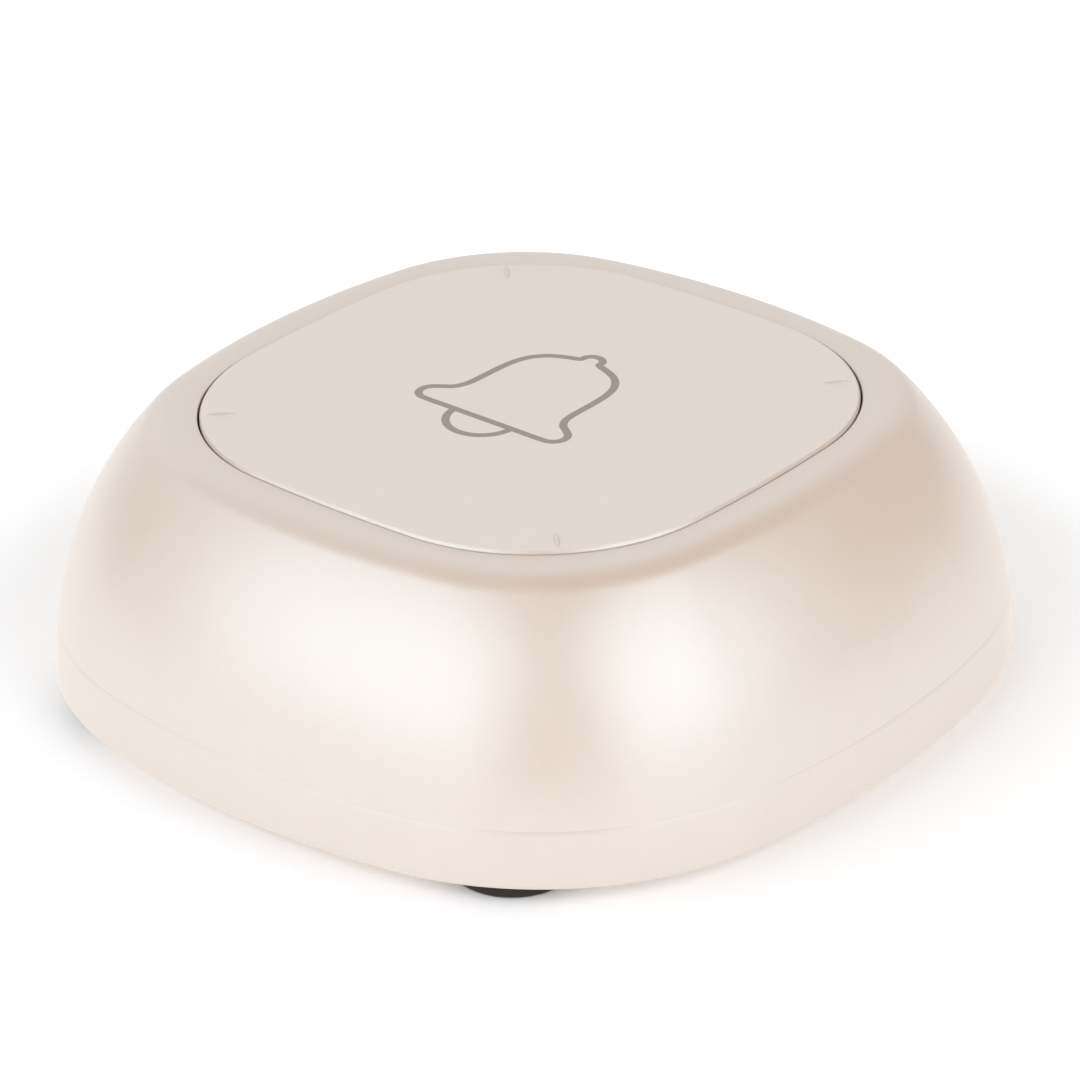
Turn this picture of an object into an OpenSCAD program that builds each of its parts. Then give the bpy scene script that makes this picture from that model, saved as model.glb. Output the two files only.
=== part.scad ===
// Table-top wireless alert button: a rounded-square body with one large key on top.
// Millimetres. +Z is up, the feet stand on Z = 0, and -Y faces the person who presses it.

/* [Body] */
// Width across the middle of the bulging sides
body_w = 62; // [58:0.5:68]
// Height from the body's lower edge to its rim
body_h = 18.7; // [18.2:0.1:20]
// Radius of the bulging sides, seen from above
side_r = 62.8; // [52:0.2:90]
// Radius of the corners, seen from above
corner_r = 21.8; // [20:0.2:24]
// Radius of the flanks, seen in section
flank_r = 26.4; // [25.6:0.2:32]
// Radius of the shoulder between a flank and the rim
shoulder_r = 2.8; // [2.2:0.1:3.6]
// Radius of the body's lower edge
edge_r = 0.4; // [0.3:0.1:0.8]
// Flat rim between the shoulder and the key's gap
rim_w = 1.6; // [1.3:0.1:2.2]
// Wall thickness of both shells
wall = 2; // [1.7:0.1:2.3]
// Thickness of the rim's roof
roof_t = 2; // [1.6:0.1:2.4]
// Thickness of the base's floor
floor_t = 2; // [1.8:0.1:2.6]
// Height of the parting line above the body's lower edge
seam_h = 4.2; // [3.9:0.1:5]
// Height of the base's lip behind the parting line
lap_h = 1.2; // [0.8:0.1:1.6]
// Clearance between the lip and the upper shell
lap_gap = 0.1; // [0.05:0.01:0.2]

/* [Key] */
// Gap round the key
key_gap = 0.22; // [0.18:0.01:0.4]
// Radius of the key's sides, seen from above
key_side_r = 120; // [70:1:200]
// Radius of the key's corners, seen from above
key_corner_r = 14.2; // [13:0.1:15.6]
// Radius of the key's upper edge
key_edge_r = 0.4; // [0.2:0.05:0.6]
// Height of the key's face above the rim
key_proud = 0.2; // [0.1:0.05:0.3]
// Thickness of the key's plate
key_t = 2; // [1.6:0.1:2.2]
// Height of the key's skirt, from its top face
skirt_h = 4; // [3.4:0.1:4.4]
// Thickness of the key's skirt
skirt_t = 1.2; // [0.9:0.1:1.4]
// Travel of the key
key_travel = 0.5; // [0.3:0.05:0.6]
// Height of the collar round the key, from the rim down
collar_h = 4.8; // [4.6:0.1:5]
// Thickness of the collar
collar_t = 1.2; // [1:0.1:1.5]
// Width of the snap hooks that hold the key in
hook_w = 6; // [4:0.5:8]
// Reach of a hook under the collar
hook_catch = 0.5; // [0.3:0.05:0.8]
// Clearance between a hook and the collar
hook_gap = 0.1; // [0.05:0.01:0.2]
// Radius of the stem that presses the switch
stem_r = 2.4; // [2:0.1:3]
// Thickness of the key's cross ribs
key_rib_t = 1; // [0.8:0.1:1.4]
// Depth of the key's cross ribs
key_rib_h = 1; // [0.6:0.1:1.2]

/* [Return springs] */
// Outer radius of a return spring
spring_r = 1.95; // [1.7:0.05:2.1]
// Wire diameter of a return spring
spring_wire = 0.4; // [0.3:0.05:0.45]
// Turns of a return spring
spring_turns = 4; // [3:0.5:4]
// Length of a return spring as fitted
spring_len = 4.4; // [4.2:0.1:4.6]
// Depth of the pocket that a spring stands in
pocket_h = 0.5; // [0.3:0.1:0.6]
// Thickness of the shelf under a spring
shelf_t = 1.2; // [1:0.1:1.3]
// Angle that a shelf spans round its corner's centre
shelf_span = 42; // [36:1:60]
// Wall of a shelf round its pocket
pocket_t = 0.6; // [0.4:0.1:0.8]
// Clearance round a spring
spring_gap = 0.3; // [0.2:0.05:0.45]

/* [Feet and case screws] */
// How far the feet stand proud of the body
foot_proud = 1.4; // [1:0.1:1.8]
// Radius of a foot
foot_r = 4.25; // [3.6:0.05:4.4]
// Depth of a foot's recess
foot_seat = 1.1; // [0.8:0.1:1.3]
// Radius of a foot's tread edge
foot_round = 0.4; // [0.2:0.1:0.8]
// Clearance round a foot
foot_gap = 0.1; // [0.05:0.01:0.2]
// Distance of a foot's centre from the body's outline
foot_inset = 5.4; // [5.2:0.1:6]
// Direction of a foot from its corner's centre, in degrees from X
foot_turn = 58; // [45:1:64]
// Radius of a case screw's head
screw_head_r = 2.1; // [1.8:0.1:2.2]
// Height of a case screw's head
screw_head_h = 1.5; // [1.2:0.1:1.6]
// Radius of a case screw's shank
screw_r = 1.1; // [0.9:0.05:1.2]
// Length of a case screw under its head
screw_len = 5.5; // [4.5:0.1:5.8]
// Depth of wall left over a screw boss
boss_cover = 0.8; // [0.6:0.1:1]
// Wall of the base round a case screw's head
base_boss_t = 1.4; // [1:0.1:1.8]
// Clearance round the case screws
screw_gap = 0.15; // [0.1:0.05:0.3]

/* [Battery and door] */
// Radius of the coin cell
cell_r = 12.25; // [10:0.05:12.5]
// Thickness of the coin cell
cell_h = 5; // [4:0.1:5.2]
// Clearance round the coin cell
cell_gap = 0.3; // [0.2:0.05:0.5]
// Wall of the cup on the door that holds the cell
cup_t = 1.05; // [0.9:0.05:1.3]
// Height of that cup above the door's plate
cup_h = 2.2; // [1.8:0.1:2.6]
// Thickness of the door's flange
flange_t = 1; // [0.8:0.1:1.1]
// Width of the door's flange outside its neck
flange_w = 1.3; // [1.1:0.1:1.5]
// Clearance round the door
door_gap = 0.2; // [0.15:0.05:0.3]
// Height of a bayonet lug
lug_h = 1; // [0.8:0.1:1.1]
// Angle that a bayonet lug spans
lug_span = 24; // [16:1:28]
// Angle of play on each side of a lug in its entry notch
lug_play = 3; // [2:0.5:5]
// Angle that a lug's stop spans
stop_span = 5; // [4:0.5:8]
// Angle that the door turns between locked and free
door_turn = 40; // [36:1:48]
// Clearance between flat faces of the door, the ledge and the cell
face_gap = 0.05; // [0.03:0.01:0.1]
// Width of the coin slot
slot_w = 1.8; // [1.4:0.1:2.2]
// Depth of the coin slot
slot_h = 1.2; // [0.8:0.1:1.3]
// Radius of the coin slot's curved floor
slot_r = 16; // [12:0.5:20]
// Wall of the battery well
well_t = 1.4; // [1:0.1:1.6]
// Thickness of the cell's contact strips
contact_t = 0.25; // [0.2:0.05:0.3]
// Width of the positive clip
clip_w = 5; // [3:0.5:6]
// Width of the negative leaf
leaf_w = 3; // [2:0.5:4]

/* [Circuit board] */
// Thickness of the board
board_t = 1.6; // [1.2:0.1:1.6]
// Distance from the body's side to the board's edge
board_margin = 9; // [8.5:0.1:10]
// Clearance between the board and the screw bosses
board_clear = 2; // [1:0.1:3]
// Radius of the board's corners
board_r = 3; // [2:0.1:4]
// Radius of a board post
post_r = 2; // [1.8:0.1:2.1]
// Distance of a post's centre from the board's edge
post_inset = 2.8; // [2.6:0.1:3]
// Radius of a locating peg
peg_r = 0.8; // [0.6:0.05:1]
// Radius of a board screw's head
board_screw_head_r = 1.8; // [1.6:0.1:2]
// Height of a board screw's head
board_screw_head_h = 1.1; // [0.9:0.1:1.2]
// Radius of a board screw's shank
board_screw_r = 0.8; // [0.7:0.05:0.9]
// Length of a board screw under its head
board_screw_len = 5; // [4:0.1:6]
// Clearance in the board's holes
hole_gap = 0.1; // [0.05:0.01:0.2]

/* [Switch] */
// Width of the switch
switch_w = 6.2; // [6:0.1:6.6]
// Height of the switch's base
switch_h = 3.3; // [3.1:0.1:3.4]
// Thickness of the switch's cover plate
cover_t = 0.3; // [0.2:0.05:0.4]
// Radius of the plunger
plunger_r = 1.75; // [1.5:0.05:1.9]
// How far the plunger stands above the cover plate
plunger_rise = 1.55; // [1.2:0.05:1.8]
// Radius of the plunger's flange
plunger_flange_r = 2.4; // [2.2:0.05:2.5]
// Thickness of the plunger's flange
plunger_flange_t = 0.7; // [0.5:0.05:0.8]
// Clearance round the plunger
plunger_gap = 0.1; // [0.05:0.01:0.15]
// Rise of the snap dome
dome_h = 0.9; // [0.8:0.05:1]
// Thickness of the snap dome
dome_t = 0.15; // [0.1:0.01:0.2]
// Depth of the switch's well
switch_well = 2; // [1.9:0.05:2.2]
// Distance between the two terminals of a side
terminal_pitch = 4.5; // [4.2:0.1:4.8]
// Width of a terminal
terminal_w = 0.7; // [0.5:0.05:0.8]
// Thickness of a terminal
terminal_t = 0.3; // [0.2:0.05:0.35]

/* [Parts on the board] */
// Wire diameter of the coil aerial
aerial_wire = 0.6; // [0.4:0.05:0.7]
// Clearance between the coil aerial and the key's ribs
aerial_gap = 0.9; // [0.7:0.1:1.2]
// Turns of the coil aerial
aerial_turns = 8; // [5:1:9]
// Length of the coil aerial
aerial_len = 13; // [11:0.5:14]
// Distance from the board's front edge to the coil aerial
aerial_margin = 1.2; // [0.8:0.1:1.6]
// Radius of the indicator lamp
lamp_r = 1.5; // [1:0.1:1.6]
// Height of the indicator lamp
lamp_h = 4.2; // [3:0.1:4.4]
// Distance of the indicator lamp in front of the back posts
lamp_inset = 4.5; // [3:0.5:5]
// Width of the radio chip
chip_w = 5; // [4:0.1:5.5]
// Height of the radio chip
chip_h = 1; // [0.7:0.1:1.2]
// Length of the crystal can
can_l = 8; // [6:0.1:9]
// Width of the crystal can
can_w = 3.8; // [3:0.1:4]
// Height of the crystal can
can_h = 3; // [2:0.1:3.4]
// Radius of the buffer capacitor
cap_r = 2.5; // [2:0.1:2.6]
// Height of the buffer capacitor
cap_h = 4.6; // [3.5:0.1:5]
// Length of a chip resistor or chip capacitor
smd_l = 1.6; // [1:0.1:1.8]
// Width of a chip resistor or chip capacitor
smd_w = 0.8; // [0.5:0.1:1]
// Height of a chip resistor or chip capacitor
smd_h = 0.5; // [0.4:0.05:0.8]

/* [Hidden] */
$fn = 64;

// How far a feature reaches into the piece that carries it, and a cut past the face it opens.
bite = 0.4;
past = 1;
// Clearance of a screw's shank in its pilot hole.
pilot_gap = 0.02;
// Steps of the outlines' arcs and of the arcs in section.
side_steps = 8;
corner_steps = 10;
flank_steps = 7;
shoulder_steps = 5;
edge_steps = 3;
// Rings to a turn and sides of a coiled wire.
turn_steps = 8;
wire_sides = 6;
// The four corners, as signs of X and Y: front left, front right, back left, back right.
corners = [[-1, -1], [1, -1], [-1, 1], [1, 1]];

// Heights of the shells.
lower_z = foot_proud;
floor_z = lower_z + floor_t;
seam_z = lower_z + seam_h;
rim_z = lower_z + body_h;
roof_z = rim_z - roof_t;
collar_z = rim_z - collar_h;

// A flank's inset from the outline at height z, t deep inside the wall.
function flank_inset(z, t = 0) = flank_r - sqrt(pow(flank_r - t, 2) - pow(z - lower_z, 2));
shoulder_inset = flank_inset(rim_z - shoulder_r, shoulder_r);
shoulder_turn = asin((body_h - shoulder_r) / (flank_r - shoulder_r));

// Outlines: half width, side radius and corner radius of a rounded square of tangent arcs.
body_form = [body_w / 2, side_r, corner_r];
key_half = body_w / 2 - shoulder_inset - rim_w - key_gap;
key_form = [key_half, key_side_r, key_corner_r];
function corner_centre(form) =
    let (m = form[0] - form[1])
    (m + sqrt(2 * pow(form[1] - form[2], 2) - m * m)) / 2;
body_c = corner_centre(body_form);
key_c = corner_centre(key_form);

// The parting line: the upper shell's outer half laps over the base's lip.
lap_inset = flank_inset(seam_z) + wall / 2;
lap_z = seam_z + lap_h + lap_gap;
base_inset = flank_inset(seam_z) + wall;

// The key and what hangs from it.
key_top_z = rim_z + key_proud;
key_low_z = key_top_z - key_t;
skirt_z = key_top_z - skirt_h;
hook_z = collar_z - hook_gap;
shelf_z = key_low_z - spring_len + pocket_h;
pocket_z = shelf_z - pocket_h;
spring_reach = key_corner_r - skirt_t - spring_r - spring_gap;
spring_xy = key_c + spring_reach / sqrt(2);
post_tip_z = shelf_z + key_travel + spring_wire;

// Feet and case screws.
foot_x = body_c + (corner_r - foot_inset) * cos(foot_turn);
foot_y = body_c + (corner_r - foot_inset) * sin(foot_turn);
foot_top_z = lower_z + foot_seat;
screw_z = foot_top_z + screw_head_h + screw_gap;
boss_r = foot_inset - base_inset - lap_gap;
boss_z = lower_z + sqrt(pow(flank_r, 2) - pow(flank_r - foot_inset + boss_r + boss_cover, 2));
base_boss_r = screw_head_r + screw_gap + base_boss_t;

// Battery door and cell.
cup_r = cell_r + cell_gap;
neck_r = cup_r + cup_t;
door_r = neck_r + flange_w;
door_bore_r = neck_r + door_gap;
door_seat_r = door_r + door_gap;
ledge_z = lower_z + flange_t + face_gap;
lug_r = door_r - door_gap / 2;
lug_z = floor_z + face_gap;
well_r = door_seat_r + door_gap;
cell_z = floor_z + 2 * face_gap;
cell_top_z = cell_z + cell_h;
lug_turns = [30, 150, 270];
notch_span = lug_span + 2 * lug_play;
// Bends of the negative leaf along X, from its pad on the board to its upturned tip.
leaf_bends = [-8, -5, 2, 3.2, 4.4];

// Board and switch. The height that the stacked pieces leave over is halved: one half lies
// between the cell and the board, the other is the key's stem.
spare_h = key_low_z - cell_top_z - board_t - switch_h - cover_t - plunger_rise - face_gap;
board_gap = spare_h / 2;
stem_h = spare_h / 2;
board_z = cell_top_z + board_gap;
board_top_z = board_z + board_t;
board_hx = body_w / 2 - board_margin;
board_hy = foot_y - boss_r - board_clear;
post_x = board_hx - post_inset;
post_y = board_hy - post_inset;
switch_well_r = plunger_flange_r + plunger_gap;
switch_top_z = board_top_z + switch_h;
switch_floor_z = switch_top_z - switch_well;
stem_z = key_low_z - stem_h;
plunger_top_z = stem_z - face_gap;
flange_top_z = switch_top_z - face_gap;
terminal_x = switch_w / 2 + terminal_t / 2;
terminal_y = terminal_pitch / 2;
terminal_hole_r = norm([terminal_w, terminal_t]) / 2 + hole_gap;
terminal_low = board_gap / 2;
leaf_lift = board_gap / 8;

// Places on the board.
aerial_r = (key_low_z - key_rib_h - aerial_gap - board_top_z - 1.5 * aerial_wire) / 2;
aerial_y = -board_hy + aerial_r + aerial_wire + aerial_margin;
aerial_z = board_top_z + aerial_r + aerial_wire;
lamp_xy = [0, post_y - lamp_inset];
chip_xy = [-10.5, 4.5];
can_xy = [-10.5, -3.5];
cap_xy = [10, 4];
smd_places = [
    [-5.5, 8], [-3.5, 10.5], [5, 8.5], [4.5, -5.5],
    [6.5, -5.5], [8.5, -3], [13.5, 0.5], [-15, 1.5],
];

// Directions in which every outline is sampled, so that rings of different outlines stay in step.
function side_turn(form) =
    let (c = corner_centre(form))
    atan2(c, c - form[0] + form[1]);
body_turn = side_turn(body_form);
outline_turns = [
    for (i = [0:side_steps - 1]) body_turn * (2 * i / side_steps - 1),
    for (i = [0:corner_steps - 1]) body_turn + (90 - 2 * body_turn) * i / corner_steps,
];
// Centre and radius of the arc of an outline that faces direction a.
function arc_facing(form, a) =
    let (m = form[0] - form[1], c = corner_centre(form), turn = side_turn(form))
    a < -turn ? [c, -c, form[2]]
    : a <= turn ? [m, 0, form[1]]
    : a <= 90 - turn ? [c, c, form[2]]
    : [0, m, form[1]];

// Points of an outline moved inwards by inset, at height z.
function round_square(form, inset, z) =
    [for (quarter = [0:3], a = outline_turns)
        let (arc = arc_facing(form, a),
             x = arc[0] + (arc[2] - inset) * cos(a),
             y = arc[1] + (arc[2] - inset) * sin(a),
             q = 90 * quarter)
        [x * cos(q) - y * sin(q), x * sin(q) + y * cos(q), z]];

// Rings along an arc in section, from angle a0 to a1 above the outward direction.
function arc_rings(form, centre, r, a0, a1, steps) =
    [for (i = [0:steps])
        let (a = a0 + (a1 - a0) * i / steps)
        [form, centre.x - r * cos(a), centre.y + r * sin(a)]];
function flank_angle(z, t = 0) = asin((z - lower_z) / (flank_r - t));
function flank_rings(z0, z1, t = 0) =
    arc_rings(body_form, [flank_r, lower_z], flank_r - t,
        flank_angle(z0, t), flank_angle(z1, t), flank_steps);

// Skins a stack of rings, each [outline, inset, height]. A closed stack is a hoop whose last ring
// meets its first; an open one is capped at both ends.
module skin(rings, closed = false) {
    n = 4 * len(outline_turns);
    count = len(rings);
    points = [for (ring = rings) each round_square(ring[0], ring[1], ring[2])];
    walls = [for (j = [0:count - (closed ? 1 : 2)], i = [0:n - 1])
        let (a = j * n, b = (j + 1) % count * n, k = (i + 1) % n)
        [a + i, b + i, b + k, a + k]];
    caps = closed ? [] : [[for (i = [0:n - 1]) i], [for (i = [n - 1:-1:0]) (count - 1) * n + i]];
    polyhedron(points, concat(walls, caps));
}

// A turned slice of a ring, from angle a0 through span, with a rectangular section.
module ring_slice(r0, r1, z0, z1, a0, span) {
    rotate(a0) rotate_extrude(angle = span) translate([r0, z0]) square([r1 - r0, z1 - z0]);
}

module tube(r0, r1, h) {
    difference() {
        cylinder(r = r1, h = h);
        translate([0, 0, -past]) cylinder(r = r0, h = h + 2 * past);
    }
}

module box(low, high) {
    translate(low) cube(high - low);
}

// A strip of even thickness t under a line of [x, z] points, w wide across Y.
module strip(line, t, w) {
    back = [for (i = [len(line) - 1:-1:0]) line[i] + [0, t]];
    translate([0, w / 2, 0]) rotate([90, 0, 0]) linear_extrude(w) polygon(concat(line, back));
}

// One unbroken wire of diameter d along rings of [centre, first side, second side].
module wire(rings, d) {
    points = [for (ring = rings, s = [0:wire_sides - 1])
        let (a = 360 * s / wire_sides)
        ring[0] + d / 2 * (cos(a) * ring[1] + sin(a) * ring[2])];
    last = (len(rings) - 1) * wire_sides;
    walls = [for (j = [0:len(rings) - 2], s = [0:wire_sides - 1])
        let (a = j * wire_sides, b = a + wire_sides, k = (s + 1) % wire_sides)
        each [[a + s, b + s, b + k], [a + s, b + k, a + k]]];
    caps = [for (s = [1:wire_sides - 2])
        each [[0, s, s + 1], [last, last + s + 1, last + s]]];
    polyhedron(points, concat(walls, caps));
}

// Rings of a helix about Z with its first ring on +X.
function helix_rings(r, pitch, turns) =
    [for (i = [0:turns * turn_steps])
        let (a = 360 * i / turn_steps, lead = atan(pitch / (2 * PI * r)))
        [[r * cos(a), r * sin(a), pitch * i / turn_steps],
         [cos(a), sin(a), 0],
         [sin(a) * sin(lead), -cos(a) * sin(lead), cos(lead)]]];

// Least clear distance between the turns of a wire, measured on its rings' centres.
function least_gap(rings, d) =
    min([for (i = [0:len(rings) - 1], j = [i + turn_steps - 2:1:len(rings) - 1])
        norm(rings[i][0] - rings[j][0])]) - d;

// Lower tray: floor, outer wall up to the parting line, and the lip behind it.
module base_shell() {
    color([0.88, 0.83, 0.78]) {
        difference() {
            union() {
                skin(concat(
                    arc_rings(body_form, [edge_r, lower_z + edge_r], edge_r, -90, 0, edge_steps),
                    [[body_form, flank_inset(seam_z), seam_z],
                     [body_form, lap_inset + lap_gap, seam_z],
                     [body_form, lap_inset + lap_gap, seam_z + lap_h],
                     [body_form, base_inset, seam_z + lap_h],
                     [body_form, base_inset, floor_z]]));
                translate([0, 0, floor_z - bite])
                    tube(well_r, well_r + well_t, cell_top_z - floor_z + bite);
                for (s = corners) {
                    translate([s.x * foot_x, s.y * foot_y, floor_z - bite])
                        cylinder(r = base_boss_r, h = seam_z - floor_z + bite);
                    translate([s.x * post_x, s.y * post_y, floor_z - bite])
                        cylinder(r = post_r, h = board_z - floor_z + bite);
                }
                for (s = [-1, 1]) {
                    translate([s * post_x, 0, floor_z - bite])
                        cylinder(r = post_r, h = board_z - floor_z + bite);
                    translate([s * post_x, s * post_y, board_z - bite])
                        cylinder(r = peg_r, h = board_t + bite);
                }
            }
            for (s = corners) translate([s.x * foot_x, s.y * foot_y, 0]) {
                translate([0, 0, lower_z - past]) cylinder(r = foot_r + foot_gap, h = foot_seat + past);
                translate([0, 0, foot_top_z - bite])
                    cylinder(r = screw_head_r + screw_gap, h = screw_z - foot_top_z + bite);
                translate([0, 0, screw_z - bite])
                    cylinder(r = screw_r + screw_gap, h = seam_z - screw_z + bite + past);
            }
            for (s = [-1, 1]) translate([s * post_x, 0, board_top_z - board_screw_len - bite])
                cylinder(r = board_screw_r + pilot_gap, h = board_screw_len);
            translate([0, 0, lower_z - past]) cylinder(r = door_seat_r, h = ledge_z - lower_z + past);
            translate([0, 0, ledge_z - bite]) cylinder(r = door_bore_r, h = floor_t + past);
            for (a = lug_turns)
                ring_slice(neck_r, lug_r + door_gap, ledge_z - bite, floor_z + past,
                    a - door_turn - notch_span / 2, notch_span);
        }
        for (a = lug_turns)
            ring_slice(door_bore_r + door_gap, well_r + bite, floor_z - bite, lug_z + lug_h,
                a + notch_span / 2, stop_span);
    }
}

// Upper moulding: curved flanks, shoulder, rim, and the collar that guides the key.
module upper_shell() {
    inner_top = flank_rings(lap_z, roof_z, wall);
    lead = key_edge_r / 4;
    rib_in = shoulder_inset + rim_w - collar_t + bite;
    rib_t = wall / 2;
    rib_sink = wall - bite;
    color([0.89, 0.84, 0.80]) difference() {
        union() {
            skin(concat(
                flank_rings(seam_z, lower_z + flank_r * sin(shoulder_turn)),
                [for (i = [1:shoulder_steps])
                    arc_rings(body_form, [shoulder_inset, rim_z - shoulder_r], shoulder_r,
                        shoulder_turn, 90, shoulder_steps)[i]],
                [[key_form, -key_gap - lead, rim_z],
                 [key_form, -key_gap, rim_z - lead],
                 [key_form, -key_gap, collar_z],
                 [key_form, -key_gap - collar_t, collar_z],
                 [key_form, -key_gap - collar_t, roof_z]],
                [for (i = [flank_steps:-1:0]) inner_top[i]],
                [[body_form, lap_inset, lap_z],
                 [body_form, lap_inset, seam_z]]), closed = true);
            for (quarter = [0:3], side = [-1, 1]) rotate(90 * quarter)
                translate([body_w / 2, side * body_c + rib_t / 2, 0]) rotate([90, 0, 0])
                linear_extrude(rib_t) mirror([1, 0]) polygon([
                    [rib_in, roof_z + bite], [rib_in, collar_z],
                    [flank_inset(collar_z, rib_sink), collar_z],
                    [flank_inset(roof_z + bite, rib_sink), roof_z + bite]]);
            for (s = corners) translate([s.x * foot_x, s.y * foot_y, seam_z])
                cylinder(r = boss_r, h = boss_z - seam_z);
            for (quarter = [0:3]) rotate(90 * quarter) spring_shelf();
        }
        for (s = corners) translate([s.x * foot_x, s.y * foot_y, seam_z - past])
            cylinder(r = screw_r + pilot_gap, h = screw_z + screw_len + bite - seam_z + past);
        for (s = corners) translate([s.x * spring_xy, s.y * spring_xy, pocket_z])
            cylinder(r = spring_r + spring_gap, h = pocket_h + past);
    }
}

// Corner shelf that a return spring stands on, hung from the collar.
module spring_shelf() {
    collar_skin = collar_t / 5;
    r1 = key_corner_r + key_gap + collar_t - collar_skin;
    r0 = key_corner_r + key_gap + collar_skin;
    low = shelf_z - shelf_t;
    inner = spring_reach - spring_r - spring_gap - pocket_t;
    translate([key_c, key_c, 0]) rotate(45 - shelf_span / 2) rotate_extrude(angle = shelf_span) polygon([
        [inner, low], [r1, low], [r1, collar_z + bite],
        [r0, collar_z + bite], [r0, shelf_z], [inner, shelf_z]]);
}

// Large key just proud of the rim: plate, skirt, snap hooks, stem, cross ribs and spring guides.
module call_key() {
    tip = key_half + key_gap + hook_catch;
    back = key_half - skirt_t;
    face = key_half - key_gap / 2;
    color([0.88, 0.85, 0.83]) {
        skin(concat(
            [[key_form, skirt_t, key_low_z], [key_form, skirt_t, skirt_z], [key_form, 0, skirt_z]],
            arc_rings(key_form, [key_edge_r, key_top_z - key_edge_r], key_edge_r, 0, 90, edge_steps)));
        for (quarter = [0:3]) rotate(90 * quarter) {
            translate([0, hook_w / 2, 0]) rotate([90, 0, 0]) linear_extrude(hook_w) polygon([
                [back + bite / 2, skirt_z + bite], [face, skirt_z + bite], [face, hook_z],
                [tip, hook_z], [tip, hook_z - hook_catch / 2],
                [face, hook_z - 2 * hook_catch], [back + bite / 2, hook_z - 2 * hook_catch]]);
            box([stem_r - bite, -key_rib_t / 2, key_low_z - key_rib_h],
                [back + bite, key_rib_t / 2, key_low_z + bite]);
        }
        translate([0, 0, stem_z]) cylinder(r = stem_r, h = stem_h + bite);
        for (s = corners) translate([s.x * spring_xy, s.y * spring_xy, post_tip_z])
            cylinder(r = spring_r - spring_wire - spring_gap, h = key_low_z - post_tip_z + bite);
    }
}

// Round bayonet door with a coin slot outside and the cell's cup inside.
module battery_door() {
    color([0.86, 0.81, 0.76]) {
        difference() {
            rotate_extrude() polygon([
                [0, lower_z], [door_r - edge_r / 2, lower_z], [door_r, lower_z + edge_r / 2],
                [door_r, lower_z + flange_t], [neck_r, lower_z + flange_t],
                [neck_r, floor_z + cup_h], [cup_r, floor_z + cup_h], [cup_r, floor_z], [0, floor_z]]);
            translate([0, slot_w / 2, lower_z + slot_h - slot_r]) rotate([90, 0, 0])
                cylinder(r = slot_r, h = slot_w);
        }
        for (a = lug_turns)
            ring_slice(neck_r - bite, lug_r, lug_z, lug_z + lug_h, a - lug_span / 2, lug_span);
    }
}

// Rubber foot with a rounded tread.
module foot(s) {
    color([0.20, 0.17, 0.15]) translate([s.x * foot_x, s.y * foot_y, 0]) rotate_extrude() {
        translate([0, foot_round]) square([foot_r, foot_top_z - foot_round]);
        square([foot_r - foot_round, foot_top_z]);
        intersection() {
            translate([foot_r - foot_round, foot_round]) circle(r = foot_round);
            translate([foot_r - foot_round, 0]) square([foot_round, foot_round]);
        }
    }
}

module foot_front_left() { foot(corners[0]); }
module foot_front_right() { foot(corners[1]); }
module foot_back_left() { foot(corners[2]); }
module foot_back_right() { foot(corners[3]); }

// Pan-head screws under the feet, which pull the shells together.
module case_screws() {
    color([0.66, 0.66, 0.68]) for (s = corners) translate([s.x * foot_x, s.y * foot_y, 0]) {
        translate([0, 0, screw_z - screw_head_h]) cylinder(r = screw_head_r, h = screw_head_h);
        translate([0, 0, screw_z - bite]) cylinder(r = screw_r, h = screw_len + bite);
    }
}

// Coin cell: can with a rounded lower edge, crimped round the raised cap.
module coin_cell() {
    cap_rise = cell_h * 0.12;
    cap_in = cell_r * 0.9;
    color([0.78, 0.78, 0.79]) rotate_extrude() polygon([
        [0, cell_z], [cell_r - edge_r, cell_z], [cell_r, cell_z + edge_r],
        [cell_r, cell_top_z - cap_rise - edge_r / 2], [cell_r - edge_r / 2, cell_top_z - cap_rise],
        [cap_in, cell_top_z - cap_rise], [cap_in - edge_r / 2, cell_top_z], [0, cell_top_z]]);
}

// Positive contact: a strip that bends from the board down beside the can.
module positive_clip() {
    leg = cell_r + cell_gap / 2;
    low = floor_z + cup_h + cell_gap;
    half = clip_w / 2;
    color([0.80, 0.76, 0.66]) {
        box([leg, -half, board_z - contact_t], [well_r - bite, half, board_z]);
        box([leg, -half, low], [leg + contact_t, half, board_z - contact_t / 2]);
    }
}

// Negative contact: a leaf that springs from the board down to the cell's cap.
module negative_leaf() {
    touch = cell_top_z + face_gap;
    rise = [board_z - contact_t, board_z - contact_t, touch + leaf_lift, touch, touch + 2 * leaf_lift];
    color([0.80, 0.76, 0.66])
        strip([for (i = [0:len(leaf_bends) - 1]) [leaf_bends[i], rise[i]]], contact_t, leaf_w);
}

// Board with holes for its pegs and screws, and for the switch's terminals.
module circuit_board() {
    color([0.16, 0.38, 0.24]) difference() {
        union() {
            box([-board_hx, -board_hy + board_r, board_z], [board_hx, board_hy - board_r, board_top_z]);
            box([-board_hx + board_r, -board_hy, board_z], [board_hx - board_r, board_hy, board_top_z]);
            for (s = corners)
                translate([s.x * (board_hx - board_r), s.y * (board_hy - board_r), board_z])
                cylinder(r = board_r, h = board_t);
        }
        for (s = [-1, 1]) {
            translate([s * post_x, 0, board_z - past])
                cylinder(r = board_screw_r + hole_gap, h = board_t + 2 * past);
            translate([s * post_x, s * post_y, board_z - past])
                cylinder(r = peg_r + hole_gap, h = board_t + 2 * past);
        }
        for (s = corners) translate([s.x * terminal_x, s.y * terminal_y, board_z - past])
            cylinder(r = terminal_hole_r, h = board_t + 2 * past);
    }
}

module board_screws() {
    color([0.66, 0.66, 0.68]) for (s = [-1, 1]) translate([s * post_x, 0, board_top_z]) {
        cylinder(r = board_screw_head_r, h = board_screw_head_h);
        translate([0, 0, -board_screw_len]) cylinder(r = board_screw_r, h = board_screw_len + bite);
    }
}

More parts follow.
